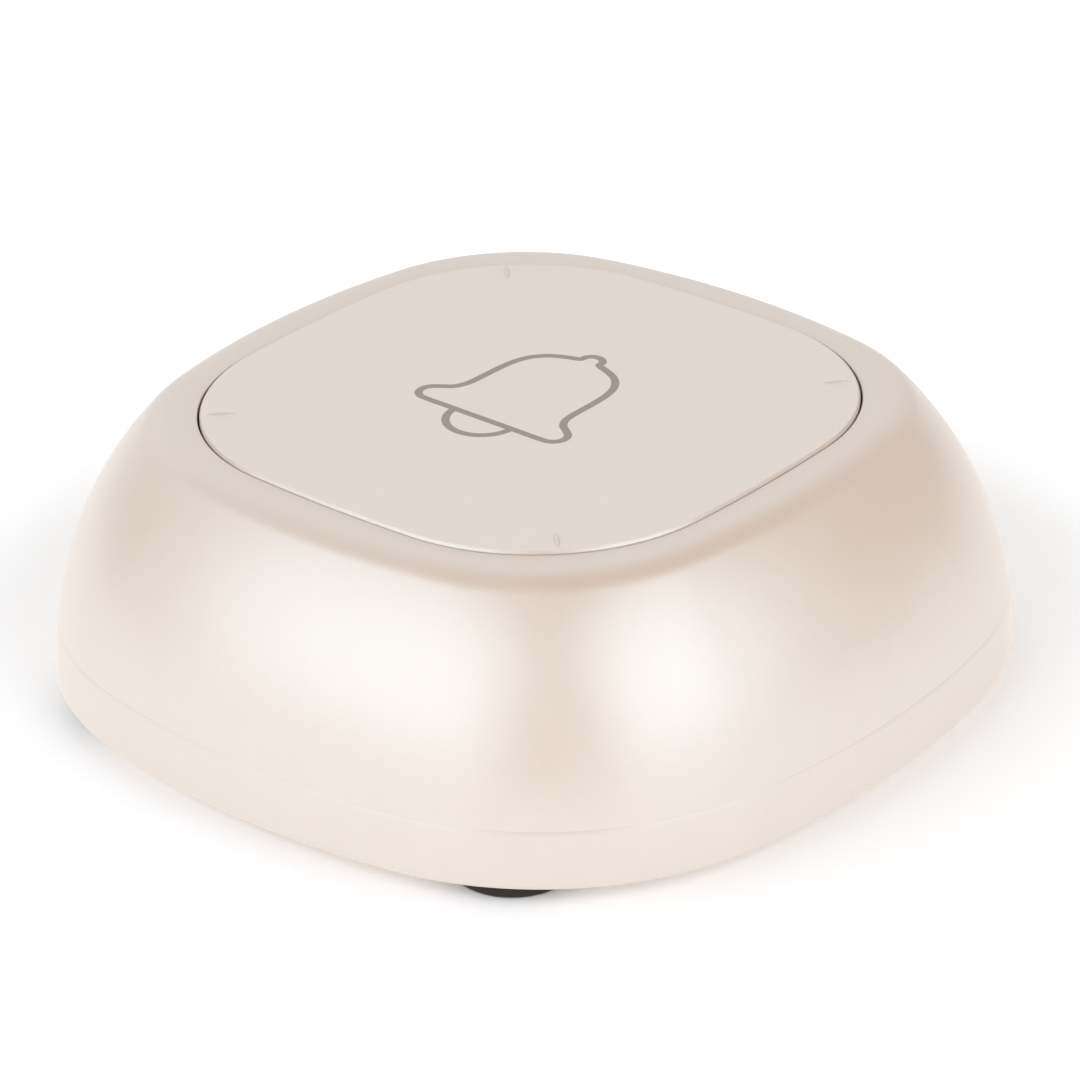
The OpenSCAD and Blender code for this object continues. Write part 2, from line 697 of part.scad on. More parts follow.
// Switch body with a round well for the dome and the plunger's flange.
module switch_base() {
    half = switch_w / 2;
    color([0.12, 0.12, 0.13]) difference() {
        box([-half, -half, board_top_z], [half, half, switch_top_z]);
        translate([0, 0, switch_floor_z]) cylinder(r = switch_well_r, h = switch_well + past);
    }
}

// Four legs that run down the switch's sides and through the board.
module switch_terminals() {
    color([0.80, 0.80, 0.78]) for (s = corners)
        translate([s.x * terminal_x, s.y * terminal_y, 0])
        box([-terminal_t / 2, -terminal_w / 2, board_z - terminal_low],
            [terminal_t / 2, terminal_w / 2, board_top_z + switch_h / 3]);
}

// Snap dome: a thin shallow cap whose rim rests on the switch's floor.
module switch_dome() {
    rim_r = switch_well_r - plunger_gap;
    dome_r = (pow(rim_r, 2) + pow(dome_h, 2)) / (2 * dome_h);
    color([0.82, 0.82, 0.80]) translate([0, 0, switch_floor_z]) rotate_extrude() intersection() {
        translate([0, dome_h - dome_r]) difference() {
            circle(r = dome_r);
            circle(r = dome_r - dome_t);
        }
        square([rim_r, dome_h]);
    }
}

// Plunger: shaft through the cover, flange under it, and the nub over the dome.
module switch_plunger() {
    nub_r = plunger_r / 2;
    color([0.92, 0.92, 0.90]) rotate_extrude() polygon([
        [0, switch_floor_z + dome_h + face_gap], [nub_r, switch_floor_z + dome_h + face_gap],
        [nub_r, flange_top_z - plunger_flange_t], [plunger_flange_r, flange_top_z - plunger_flange_t],
        [plunger_flange_r, flange_top_z], [plunger_r, flange_top_z],
        [plunger_r, plunger_top_z], [0, plunger_top_z]]);
}

// Steel cover plate with two tabs folded down the switch's sides.
module switch_cover() {
    half = switch_w / 2;
    color([0.75, 0.75, 0.76]) difference() {
        union() {
            box([-half, -half - cover_t, switch_top_z], [half, half + cover_t, switch_top_z + cover_t]);
            for (s = [-1, 1]) translate([0, s * (half + cover_t / 2), 0])
                box([-half / 2, -cover_t / 2, switch_top_z - switch_h / 2],
                    [half / 2, cover_t / 2, switch_top_z + cover_t / 2]);
        }
        translate([0, 0, switch_top_z - past])
            cylinder(r = plunger_r + plunger_gap, h = cover_t + 2 * past);
    }
}

// Return spring, standing in its shelf's pocket.
spring_mean_r = spring_r - spring_wire / 2;
spring_pitch = (spring_len - spring_wire - 2 * face_gap) / spring_turns;
spring_rings = helix_rings(spring_mean_r, spring_pitch, spring_turns);
echo(spring_least_gap = least_gap(spring_rings, spring_wire));
module spring(s) {
    color([0.70, 0.70, 0.72])
        translate([s.x * spring_xy, s.y * spring_xy, pocket_z + face_gap + spring_wire / 2])
        wire(spring_rings, spring_wire);
}

module spring_front_left() { spring(corners[0]); }
module spring_front_right() { spring(corners[1]); }
module spring_back_left() { spring(corners[2]); }
module spring_back_right() { spring(corners[3]); }

// Coil aerial lying along X, with a leg at each end that stands on the board.
aerial_pitch = aerial_len / (aerial_turns + 0.5);
aerial_coil = helix_rings(aerial_r, aerial_pitch, aerial_turns + 0.5);
aerial_last = aerial_coil[len(aerial_coil) - 1];
aerial_drop = aerial_z - board_top_z - face_gap;
aerial_rings = concat(
    [[aerial_coil[0][0] - [0, aerial_drop, 0], aerial_coil[0][1], [0, 0, 1]]],
    aerial_coil,
    [[aerial_last[0] - [0, aerial_drop, 0], aerial_last[1], [0, 0, 1]]]);
echo(aerial_least_gap = least_gap(aerial_rings, aerial_wire));
module coil_aerial() {
    color([0.80, 0.55, 0.32]) translate([-aerial_len / 2, aerial_y, aerial_z])
        rotate([90, 0, 90]) wire(aerial_rings, aerial_wire);
}

module radio_chip() {
    color([0.10, 0.10, 0.11]) translate([chip_xy.x, chip_xy.y, board_top_z])
        box([-chip_w / 2, -chip_w / 2, 0], [chip_w / 2, chip_w / 2, chip_h]);
}

// Crystal can: a flange and a round-ended can on it.
module crystal_can() {
    flange_h = can_h * 0.15;
    run = can_l / 2 - can_w / 2;
    color([0.78, 0.78, 0.80]) translate([can_xy.x, can_xy.y, board_top_z]) {
        box([-can_l / 2, -can_w / 2, 0], [can_l / 2, can_w / 2, flange_h]);
        box([-run, -can_w / 2 + flange_h, 0], [run, can_w / 2 - flange_h, can_h]);
        for (s = [-1, 1]) translate([s * run, 0, 0]) cylinder(r = can_w / 2 - flange_h, h = can_h);
    }
}

// Buffer capacitor: a can with a rolled groove on a square foot.
module buffer_capacitor() {
    groove = cap_r * 0.08;
    groove_z = cap_h * 0.3;
    groove_h = cap_h * 0.05;
    color([0.72, 0.72, 0.74]) translate([cap_xy.x, cap_xy.y, board_top_z]) {
        box([-cap_r, -cap_r, 0], [cap_r, cap_r, 2 * groove_h]);
        rotate_extrude() polygon([
            [0, 0], [cap_r - groove, 0], [cap_r - groove, groove_z - groove_h],
            [cap_r - 2 * groove, groove_z], [cap_r - groove, groove_z + groove_h],
            [cap_r - groove, cap_h - groove], [cap_r - 2 * groove, cap_h], [0, cap_h]]);
    }
}

// Domed indicator lamp with a collar at its foot.
module indicator_lamp() {
    collar = lamp_r * 0.2;
    collar_top = lamp_h * 0.2;
    color([0.90, 0.35, 0.25]) translate([lamp_xy.x, lamp_xy.y, board_top_z]) {
        cylinder(r = lamp_r + collar, h = collar_top);
        cylinder(r = lamp_r, h = lamp_h - lamp_r);
        intersection() {
            translate([0, 0, lamp_h - lamp_r]) sphere(r = lamp_r);
            cylinder(r = lamp_r + collar, h = lamp_h + past);
        }
    }
}

module chip_parts() {
    color([0.55, 0.45, 0.35]) for (p = smd_places) translate([p.x, p.y, board_top_z])
        box([-smd_l / 2, -smd_w / 2, 0], [smd_l / 2, smd_w / 2, smd_h]);
}

base_shell();
upper_shell();
call_key();
battery_door();
foot_front_left();
foot_front_right();
foot_back_left();
foot_back_right();
case_screws();
coin_cell();
positive_clip();
negative_leaf();
circuit_board();
board_screws();
switch_base();
switch_terminals();
switch_dome();
switch_plunger();
switch_cover();
spring_front_left();
spring_front_right();
spring_back_left();
spring_back_right();
coil_aerial();
radio_chip();
crystal_can();
buffer_capacitor();
indicator_lamp();
chip_parts();
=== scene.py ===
import math

import bmesh
import bpy
import numpy as np
from mathutils import Matrix, Vector
from mathutils.geometry import delaunay_2d_cdt


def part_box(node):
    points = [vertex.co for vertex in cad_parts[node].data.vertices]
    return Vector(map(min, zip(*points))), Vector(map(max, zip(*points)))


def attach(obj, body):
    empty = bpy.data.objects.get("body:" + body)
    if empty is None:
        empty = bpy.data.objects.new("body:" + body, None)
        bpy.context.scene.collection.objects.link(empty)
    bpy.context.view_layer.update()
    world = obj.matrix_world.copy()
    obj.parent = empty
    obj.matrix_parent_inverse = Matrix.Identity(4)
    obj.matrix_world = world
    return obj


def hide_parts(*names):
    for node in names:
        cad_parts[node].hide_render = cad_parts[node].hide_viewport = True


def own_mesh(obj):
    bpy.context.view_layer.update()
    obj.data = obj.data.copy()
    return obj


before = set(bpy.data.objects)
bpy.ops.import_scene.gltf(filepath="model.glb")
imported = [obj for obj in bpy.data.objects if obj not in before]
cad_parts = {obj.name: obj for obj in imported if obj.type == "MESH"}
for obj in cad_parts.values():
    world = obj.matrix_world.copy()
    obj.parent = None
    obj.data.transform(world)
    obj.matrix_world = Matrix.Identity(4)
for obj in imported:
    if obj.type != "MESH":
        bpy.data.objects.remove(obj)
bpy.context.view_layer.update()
scene = bpy.context.scene
scene.view_settings.view_transform = "Standard"


# Camera
# A long lens a third of a metre away, a little above the button, which turns its front right corner to it.
# Roll and shift are those of the photograph's framing.
MM = 0.001
LENS_AZIMUTH, LENS_ELEVATION, LENS_ROLL = (math.radians(a) for a in (40.921, 27.138, -1.188))
LENS_DISTANCE = 321.7 * MM
AIM = Vector((0, 0, 11.5 * MM))
towards_lens = Vector((
    math.sin(LENS_AZIMUTH) * math.cos(LENS_ELEVATION),
    -math.cos(LENS_AZIMUTH) * math.cos(LENS_ELEVATION),
    math.sin(LENS_ELEVATION)))
level_right = Vector((math.cos(LENS_AZIMUTH), math.sin(LENS_AZIMUTH), 0))
level_up = towards_lens.cross(level_right)
right = math.cos(LENS_ROLL) * level_right + math.sin(LENS_ROLL) * level_up
up = math.cos(LENS_ROLL) * level_up - math.sin(LENS_ROLL) * level_right
lens = bpy.data.cameras.new("lens")
lens.sensor_width = 36
lens.lens = 154.48
lens.shift_x = 0.0068
lens.shift_y = -0.0256
lens.clip_start = 0.01
camera = bpy.data.objects.new("camera", lens)
scene.collection.objects.link(camera)
camera.matrix_world = (Matrix.Translation(AIM + towards_lens * LENS_DISTANCE)
                       @ Matrix((right, up, towards_lens)).transposed().to_4x4())
scene.camera = camera


# Base shell
# The lower tray: champagne ABS with a fine pearl, injection-moulded, spark-eroded to a soft matt underneath.
# It holds the feet, the door, the cell's well and the board's posts, and is screwed to the upper shell.
BODY = (31.0, 62.8, 21.8)  # half width, radius of the sides and radius of the corners, in mm
FLANK_R = 26.4
WALL = 2.0
LOWER_Z, FLOOR_Z, SEAM_Z = 1.4, 3.4, 5.6
LIP_H, LIP_GAP = 1.2, 0.1
LOWER_EDGE_R, SEAM_EDGE_R = 0.4, 0.016
EDGE_RUN = 0.4  # from the rounded lower edge up to the flank's own curve
RECESS_EDGE = 0.2
SIDE_STEPS, CORNER_STEPS = 28, 44  # points along the arc of a side and of a corner


def outline_arcs(form):
    """Centres of a rounded square's side arc and corner arc, and the direction in which they meet."""
    half, side, corner = form
    m = half - side
    c = (m + math.sqrt(2 * (side - corner) ** 2 - m * m)) / 2
    return m, c, math.atan2(c, c - m)


SIDE_TURN = outline_arcs(BODY)[2]
FACINGS = np.concatenate([
    np.linspace(-SIDE_TURN, SIDE_TURN, SIDE_STEPS, endpoint=False),
    np.linspace(SIDE_TURN, math.pi / 2 - SIDE_TURN, CORNER_STEPS, endpoint=False)])


def rounded_square(form, inset, z):
    """One ring of a rounded square of tangent arcs, moved inwards by inset, at height z."""
    m, c, turn = outline_arcs(form)
    quarter = []
    for a in FACINGS:
        if a < -turn:
            x, y, r = c, -c, form[2]
        elif a <= turn:
            x, y, r = m, 0, form[1]
        elif a <= math.pi / 2 - turn:
            x, y, r = c, c, form[2]
        else:
            x, y, r = 0, m, form[1]
        quarter.append((x + (r - inset) * math.cos(a), y + (r - inset) * math.sin(a)))
    quarter = np.array(quarter)
    turned_quarters = [quarter]
    for _ in range(3):
        last = turned_quarters[-1]
        turned_quarters.append(np.column_stack([-last[:, 1], last[:, 0]]))
    flat = np.vstack(turned_quarters)
    return np.column_stack([flat, np.full(len(flat), z)])


def flank_inset(z, depth=0.0):
    """How far a flank has curved inwards at height z, depth inside its wall."""
    return FLANK_R - math.sqrt((FLANK_R - depth) ** 2 - (z - LOWER_Z) ** 2)


def bend(inset, z, r, start, end, steps):
    """(inset, height) along a rounded edge about a centre, from start to end degrees above outwards."""
    return [(inset - r * math.cos(a), z + r * math.sin(a))
            for a in np.radians(np.linspace(start, end, steps + 1))]


def loft(rings, closed=False):
    """Quads between successive rings; a closed stack joins its last ring to its first."""
    n, count = len(rings[0]), len(rings)
    faces = []
    for j in range(count if closed else count - 1):
        a, b = j * n, (j + 1) % count * n
        faces += [(a + i, a + (i + 1) % n, b + (i + 1) % n, b + i) for i in range(n)]
    return np.vstack(rings), faces


def turned(profile, centre=(0, 0), sides=72):
    """A surface turned about a vertical line through centre from a profile of (radius, height)."""
    a = np.linspace(0, 2 * math.pi, sides, endpoint=False)
    return loft([np.column_stack([centre[0] + r * np.cos(a), centre[1] + r * np.sin(a), np.full(sides, z)])
                 for r, z in profile])


def circle(r, centre, z, sides=72):
    """One level ring of points."""
    return turned([(r, z)], centre, sides)[0]


def recess_edge(r):
    """(radius, height) along the rounded edge where a round recess of radius r meets the underside."""
    edge = bend(-r - RECESS_EDGE, LOWER_Z + RECESS_EDGE, RECESS_EDGE, 270, 180, 4)
    return [(-inset, z) for inset, z in edge]


def encloses(loop, x, y):
    """Whether a level loop runs round the point x, y."""
    ends = np.roll(loop, -1, 0)
    crosses = (loop[:, 1] > y) != (ends[:, 1] > y)
    a, b = loop[crosses], ends[crosses]
    return np.sum(x < a[:, 0] + (y - a[:, 1]) / (b[:, 1] - a[:, 1]) * (b[:, 0] - a[:, 0])) % 2 == 1


def flat_sheet(outer, holes):
    """A flat level face inside the loop outer, open inside each loop of holes."""
    points, edges = [], []
    for loop in [outer, *holes]:
        first = len(points)
        points += [Vector(p[:2]) for p in loop]
        edges += [(first + i, first + (i + 1) % len(loop)) for i in range(len(loop))]
    flat, _, faces, *_ = delaunay_2d_cdt(points, edges, [], 1, 1e-6)
    flat = np.array([(p.x, p.y, outer[0][2]) for p in flat])
    middles = [flat[list(face)].mean(0) for face in faces]
    return flat, [tuple(face) for face, (x, y, _) in zip(faces, middles)
                  if not any(encloses(np.array(hole), x, y) for hole in holes)]


def make_piece(name, parts, material, body, slot, *nodes, crease=32, flat=False, matt_parts=(), matt=None):
    """Welds parts given in mm into one smooth-shaded piece with creased edges, on its body, for its CAD
    nodes. Flat leaves its level faces unsmoothed. Parts of it with a second, matt finish are given apart."""
    weld, sliver, level = 0.002 * MM, 0.001 * MM, 0.9999
    work = bmesh.new()
    for number, group in enumerate((parts, matt_parts)):
        for verts, faces in group:
            made = [work.verts.new(Vector(v) * MM) for v in verts]
            for face in faces:
                if len(set(face)) > 2:
                    work.faces.new([made[i] for i in face]).material_index = number
    bmesh.ops.remove_doubles(work, verts=work.verts, dist=weld)
    bmesh.ops.dissolve_degenerate(work, edges=work.edges, dist=sliver)
    bmesh.ops.recalc_face_normals(work, faces=work.faces)
    mesh = bpy.data.meshes.new(name)
    work.to_mesh(mesh)
    work.free()
    mesh.polygons.foreach_set("use_smooth", [True] * len(mesh.polygons))
    mesh.set_sharp_from_angle(angle=math.radians(crease))
    if flat:
        for face in mesh.polygons:
            face.use_smooth = abs(face.normal.z) < level
    mesh.materials.append(material)
    if matt:
        mesh.materials.append(matt)
    piece = bpy.data.objects.new(name, mesh)
    scene.collection.objects.link(piece)
    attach(piece, body)
    if nodes:
        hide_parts(*nodes)
    return piece


def srgb(r, g, b):
    """A linear colour from display values of 0 to 255."""
    linear = (((v / 255 + 0.055) / 1.055) ** 2.4 if v > 10 else v / 255 / 12.92 for v in (r, g, b))
    return (*linear, 1.0)


def finish(name, dark, light, *, grain, roughness, bump, depth=0.00002, metallic=0.0, coat=0.0):
    """A procedural finish: colour drifts from dark to light and roughness within its pair, on a grain of
    that many spots to the metre, with a fine relief of the same grain."""
    material = bpy.data.materials.new(name)
    material.use_nodes = True
    nodes, links = material.node_tree.nodes, material.node_tree.links
    shader = nodes["Principled BSDF"]
    shader.inputs["Metallic"].default_value = metallic
    shader.inputs["Coat Weight"].default_value = coat
    shader.inputs["Coat Roughness"].default_value = 0.12
    place = nodes.new("ShaderNodeTexCoord")
    noise = nodes.new("ShaderNodeTexNoise")
    noise.inputs["Scale"].default_value = grain
    noise.inputs["Detail"].default_value = 4
    links.new(place.outputs["Object"], noise.inputs["Vector"])
    tone = nodes.new("ShaderNodeValToRGB")
    tone.color_ramp.elements[0].position, tone.color_ramp.elements[1].position = 0.3, 0.7
    tone.color_ramp.elements[0].color, tone.color_ramp.elements[1].color = dark, light
    links.new(noise.outputs["Fac"], tone.inputs["Fac"])
    links.new(tone.outputs["Color"], shader.inputs["Base Color"])
    spread = nodes.new("ShaderNodeMapRange")
    spread.inputs["To Min"].default_value, spread.inputs["To Max"].default_value = roughness
    links.new(noise.outputs["Fac"], spread.inputs["Value"])
    links.new(spread.outputs["Result"], shader.inputs["Roughness"])
    relief = nodes.new("ShaderNodeBump")
    relief.inputs["Strength"].default_value = bump
    relief.inputs["Distance"].default_value = depth
    links.new(noise.outputs["Fac"], relief.inputs["Height"])
    links.new(relief.outputs["Normal"], shader.inputs["Normal"])
    return material


def pearl(name, shade, *, roughness, gloss, bump=0.03):
    """Champagne ABS filled with coated mica: a warm colour under a broad, cooler gloss, with tiny flakes."""
    r, g, b = shade
    material = finish(name, srgb(r - 1, g - 1, b - 2), srgb(r + 1, g + 1, b + 1),
                      grain=300, roughness=roughness, bump=bump)
    nodes, links = material.node_tree.nodes, material.node_tree.links
    shader, tone = nodes["Principled BSDF"], nodes["Color Ramp"]
    shader.inputs["IOR"].default_value = gloss
    shader.inputs["Specular Tint"].default_value = (0.7, 0.88, 1.0, 1)
    place = nodes["Texture Coordinate"]
    flake = nodes.new("ShaderNodeTexVoronoi")
    flake.inputs["Scale"].default_value = 14000
    links.new(place.outputs["Object"], flake.inputs["Vector"])
    glint = nodes.new("ShaderNodeMix")
    glint.data_type, glint.blend_type = "RGBA", "SOFT_LIGHT"
    glint.inputs["Factor"].default_value = 0.05
    links.new(tone.outputs["Color"], glint.inputs["A"])
    links.new(flake.outputs["Color"], glint.inputs["B"])
    links.new(glint.outputs["Result"], shader.inputs["Base Color"])
    skin = nodes.new("ShaderNodeTexNoise")
    skin.inputs["Scale"].default_value = 5200
    links.new(place.outputs["Object"], skin.inputs["Vector"])
    links.new(skin.outputs["Fac"], nodes["Bump"].inputs["Height"])
    return material


shell_pearl = pearl("shell_pearl", (198, 177, 160), roughness=(0.36, 0.42), gloss=2.7)
corner_signs = [(-1, -1), (1, -1), (-1, 1), (1, 1)]
foot_low, foot_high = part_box("foot_front_right")
foot_r = (foot_high.x - foot_low.x) / 2 / MM
foot_at = [(sx * (foot_low.x + foot_high.x) / 2 / MM, sy * -(foot_low.y + foot_high.y) / 2 / MM)
           for sx, sy in corner_signs]
FOOT_TOP_Z, FOOT_GAP = foot_high.z / MM, 0.1
SCREW_HOLE_R, SCREW_SHANK_R, SCREW_SEAT_Z = 2.25, 1.25, 4.15
BOSS_R, BOSS_HOLE_R = 3.65, 2.35  # the bosses over the floor's screw holes
SUNK = 0.3  # how deep an added form is let into the piece that it stands on
door_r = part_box("battery_door")[1].x / MM
DOOR_GAP, DOOR_BORE_R, DOOR_SIDES = 0.2, 13.8, 144
LEDGE_Z = 2.45
WELL_R, WELL_T = 15.3, 1.4
CELL_TOP_Z, BOARD_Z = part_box("coin_cell")[1].z / MM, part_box("circuit_board")[0].z / MM
POST_R, POST_X, POST_Y, POST_SIDES = 2.0, 19.2, 14.49, 32
POSTS = [(x, y) for x in (-POST_X, POST_X) for y in (-POST_Y, 0, POST_Y)]

lip_inset = flank_inset(SEAM_Z) + WALL / 2 + LIP_GAP
inner_inset = flank_inset(SEAM_Z) + WALL
wall_line = bend(LOWER_EDGE_R, LOWER_Z + LOWER_EDGE_R, LOWER_EDGE_R, -90, 0, 8)
wall_line += [(flank_inset(z), z)
              for z in np.linspace(LOWER_Z + LOWER_EDGE_R + EDGE_RUN, SEAM_Z - SEAM_EDGE_R, 9)]
wall_line += bend(flank_inset(SEAM_Z) + SEAM_EDGE_R, SEAM_Z - SEAM_EDGE_R, SEAM_EDGE_R, 30, 90, 4)
wall_line += [(lip_inset, SEAM_Z), (lip_inset, SEAM_Z + LIP_H),
              (inner_inset, SEAM_Z + LIP_H), (inner_inset, FLOOR_Z)]
tray = [loft([rounded_square(BODY, inset, z) for inset, z in wall_line])]
recess_r, seat_r, well_out = foot_r + FOOT_GAP, door_r + DOOR_GAP, WELL_R + WELL_T
underside = [flat_sheet(
    rounded_square(BODY, LOWER_EDGE_R, LOWER_Z),
    [circle(recess_r + RECESS_EDGE, at, LOWER_Z) for at in foot_at]
    + [circle(seat_r + RECESS_EDGE, (0, 0), LOWER_Z, DOOR_SIDES)])]
tray.append(flat_sheet(circle(WELL_R, (0, 0), FLOOR_Z), [circle(DOOR_BORE_R, (0, 0), FLOOR_Z, DOOR_SIDES)]))
tray.append(flat_sheet(
    rounded_square(BODY, inner_inset, FLOOR_Z),
    [circle(well_out, (0, 0), FLOOR_Z)] + [circle(SCREW_HOLE_R, at, FLOOR_Z) for at in foot_at]
    + [circle(POST_R, at, FLOOR_Z, POST_SIDES) for at in POSTS]))
tray.append(turned([(WELL_R, FLOOR_Z), (WELL_R, CELL_TOP_Z), (well_out, CELL_TOP_Z), (well_out, FLOOR_Z)]))
for at in foot_at:
    tray.append(turned(recess_edge(recess_r) + [(recess_r, FOOT_TOP_Z), (SCREW_HOLE_R, FOOT_TOP_Z),
                                                (SCREW_HOLE_R, FLOOR_Z)], at))
    tray.append(turned([(BOSS_HOLE_R, FLOOR_Z - SUNK), (BOSS_HOLE_R, SCREW_SEAT_Z),
                        (SCREW_SHANK_R, SCREW_SEAT_Z), (SCREW_SHANK_R, SEAM_Z), (BOSS_R, SEAM_Z),
                        (BOSS_R, FLOOR_Z - SUNK), (BOSS_HOLE_R, FLOOR_Z - SUNK)], at))
tray.append(turned(recess_edge(seat_r) + [(seat_r, LEDGE_Z), (DOOR_BORE_R, LEDGE_Z), (DOOR_BORE_R, FLOOR_Z)],
                   sides=DOOR_SIDES))
tray += [turned([(POST_R, FLOOR_Z), (POST_R, BOARD_Z), (0, BOARD_Z)], at, POST_SIDES) for at in POSTS]
matt_pearl = pearl("matt_pearl", (205, 186, 171), roughness=(0.5, 0.58), gloss=2.2, bump=0.3)
make_piece("base_tray", tray, shell_pearl, "housing", "shell_pearl", "base_shell",
           flat=True, matt_parts=underside, matt=matt_pearl)


# Circuit board and the parts soldered on it
# A green glass-fibre board on six posts, with a moulded radio chip, a crystal in a drawn can, an aluminium
# buffer capacitor, a red lamp and fired chip resistors, all soldered to its upper side.
def dress(material, *names):
    """Gives CAD nodes a material."""
    for name in names:
        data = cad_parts[name].data
        data.materials.clear()
        data.materials.append(material)


dress(finish("solder_mask", srgb(22, 84, 46), srgb(34, 104, 60),
             grain=900, roughness=(0.32, 0.42), bump=0.08), "circuit_board")
dress(finish("moulded_epoxy", srgb(24, 24, 26), srgb(36, 36, 38),
             grain=6000, roughness=(0.55, 0.7), bump=0.15), "radio_chip")
tinned = finish("tinned_steel", srgb(186, 186, 190), srgb(206, 206, 208),
                grain=2500, roughness=(0.22, 0.34), bump=0.05, metallic=1.0)
dress(tinned, "crystal_can")
dress(finish("drawn_aluminium", srgb(186, 188, 192), srgb(204, 206, 210),
             grain=3500, roughness=(0.3, 0.45), bump=0.06, metallic=1.0), "buffer_capacitor")
dress(finish("lamp_lens", srgb(196, 36, 24), srgb(214, 52, 36),
             grain=700, roughness=(0.08, 0.14), bump=0.02, coat=0.5), "indicator_lamp")
dress(finish("fired_ceramic", srgb(128, 104, 82), srgb(156, 130, 104),
             grain=5000, roughness=(0.5, 0.65), bump=0.1), "chip_parts")


# Coil aerial
# Eight and a half turns of enamelled copper wire lying along the board's front edge, with a leg at each end
# that is soldered to the board.
def capped(sections):
    """A bar through like sections, closed at both ends."""
    verts, faces = loft(sections)
    n, last = len(sections[0]), len(verts) - len(sections[0])
    return verts, faces + [tuple(range(n))[::-1], tuple(range(last, last + n))]


def wire_along(path, diameter, sides=12):
    """A round wire along a smooth path of points, with flat ends."""
    askew = (0.3, 0.5, 0.8)  # a direction that no wire starts in
    path = np.array(path, float)
    along = np.gradient(path, axis=0)
    along /= np.linalg.norm(along, axis=1)[:, None]
    side = np.cross(along[0], askew)
    rings = []
    for p, t in zip(path, along):
        side = side - t * (side @ t)
        side /= np.linalg.norm(side)
        other = np.cross(t, side)
        rings.append([p + diameter / 2 * (math.cos(a) * side + math.sin(a) * other)
                      for a in np.linspace(0, 2 * math.pi, sides, endpoint=False)])
    return capped(rings)


AERIAL_WIRE, AERIAL_TURNS, AERIAL_LENGTH = 0.6, 8.5, 13.0
TURN_STEPS, LEG_STEPS = 28, 6  # points along a turn and along a leg
LEG_GAP = 0.02
aerial_low, aerial_high = (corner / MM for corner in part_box("coil_aerial"))
aerial_r = (aerial_high.y - aerial_low.y - AERIAL_WIRE) / 2
aerial_y = (aerial_high.y + aerial_low.y) / 2
aerial_z = aerial_high.z - aerial_r - AERIAL_WIRE / 2
turns = np.linspace(0, AERIAL_TURNS, int(AERIAL_TURNS * TURN_STEPS) + 1)
coil_path = [(-AERIAL_LENGTH / 2 + AERIAL_LENGTH * t / AERIAL_TURNS,
              aerial_y + aerial_r * math.cos(2 * math.pi * t),
              aerial_z + aerial_r * math.sin(2 * math.pi * t)) for t in turns]
leg_heights = np.linspace(aerial_low.z + LEG_GAP, aerial_z, LEG_STEPS)
coil_path = ([(coil_path[0][0], coil_path[0][1], z) for z in leg_heights[:-1]] + coil_path
             + [(coil_path[-1][0], coil_path[-1][1], z) for z in leg_heights[-2::-1]])
copper = finish("enamelled_copper", srgb(190, 110, 66), srgb(212, 132, 84),
                grain=1800, roughness=(0.2, 0.3), bump=0.03, metallic=1.0, coat=0.4)
make_piece("aerial_coil", [wire_along(coil_path, AERIAL_WIRE)], copper,
           "housing", "aerial_copper", "coil_aerial")


# Tact switch
# A black nylon base with tinned legs, a steel snap dome, a white acetal plunger and a folded steel cover.
# In use the dome flattens when the plunger comes down, and lifts it again; here it is built at rest.
dress(finish("black_nylon", srgb(26, 26, 28), srgb(38, 38, 40),
             grain=4000, roughness=(0.5, 0.62), bump=0.12), "switch_base")
dress(tinned, "switch_terminals", "switch_cover")
dress(finish("white_acetal", srgb(226, 226, 222), srgb(236, 236, 232),
             grain=1500, roughness=(0.35, 0.45), bump=0.05), "switch_plunger")
spring_steel = finish("spring_steel", srgb(172, 172, 178), srgb(196, 196, 200),
                      grain=4000, roughness=(0.2, 0.3), bump=0.04, metallic=1.0)
dome_low, dome_high = (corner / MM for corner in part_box("switch_dome"))
DOME_T, DOME_STEPS = 0.15, 14
KEY_TRAVEL = 0.5
rim_r, dome_h = dome_high.x, dome_high.z - dome_low.z
ball_r = (rim_r ** 2 + dome_h ** 2) / (2 * dome_h)
ball_z, inner_r = dome_high.z - ball_r, ball_r - DOME_T
inner_reach = math.sqrt(inner_r ** 2 - (ball_r - dome_h) ** 2)
outer_line = [(r, ball_z + math.sqrt(ball_r ** 2 - r * r)) for r in np.linspace(0, rim_r, DOME_STEPS)]
inner_line = [(r, ball_z + math.sqrt(inner_r ** 2 - r * r)) for r in np.linspace(inner_reach, 0, DOME_STEPS)]
dome = make_piece("snap_dome", [turned(outer_line + inner_line, sides=48)], spring_steel,
                  "housing", "spring_steel", "switch_dome")
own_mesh(dome)


# Cell contacts and board screws
# Two plated brass strips under the board, a clip beside the cell's can and a leaf on its cap, and two
# zinc-plated pan-head screws that hold the board on its middle posts.
dress(finish("plated_brass", srgb(198, 180, 132), srgb(216, 200, 156),
             grain=2600, roughness=(0.22, 0.32), bump=0.04, metallic=1.0), "positive_clip", "negative_leaf")
zinc = finish("zinc_plate", srgb(166, 168, 174), srgb(192, 194, 198),
              grain=3000, roughness=(0.28, 0.4), bump=0.06, metallic=1.0)
dress(zinc, "board_screws")


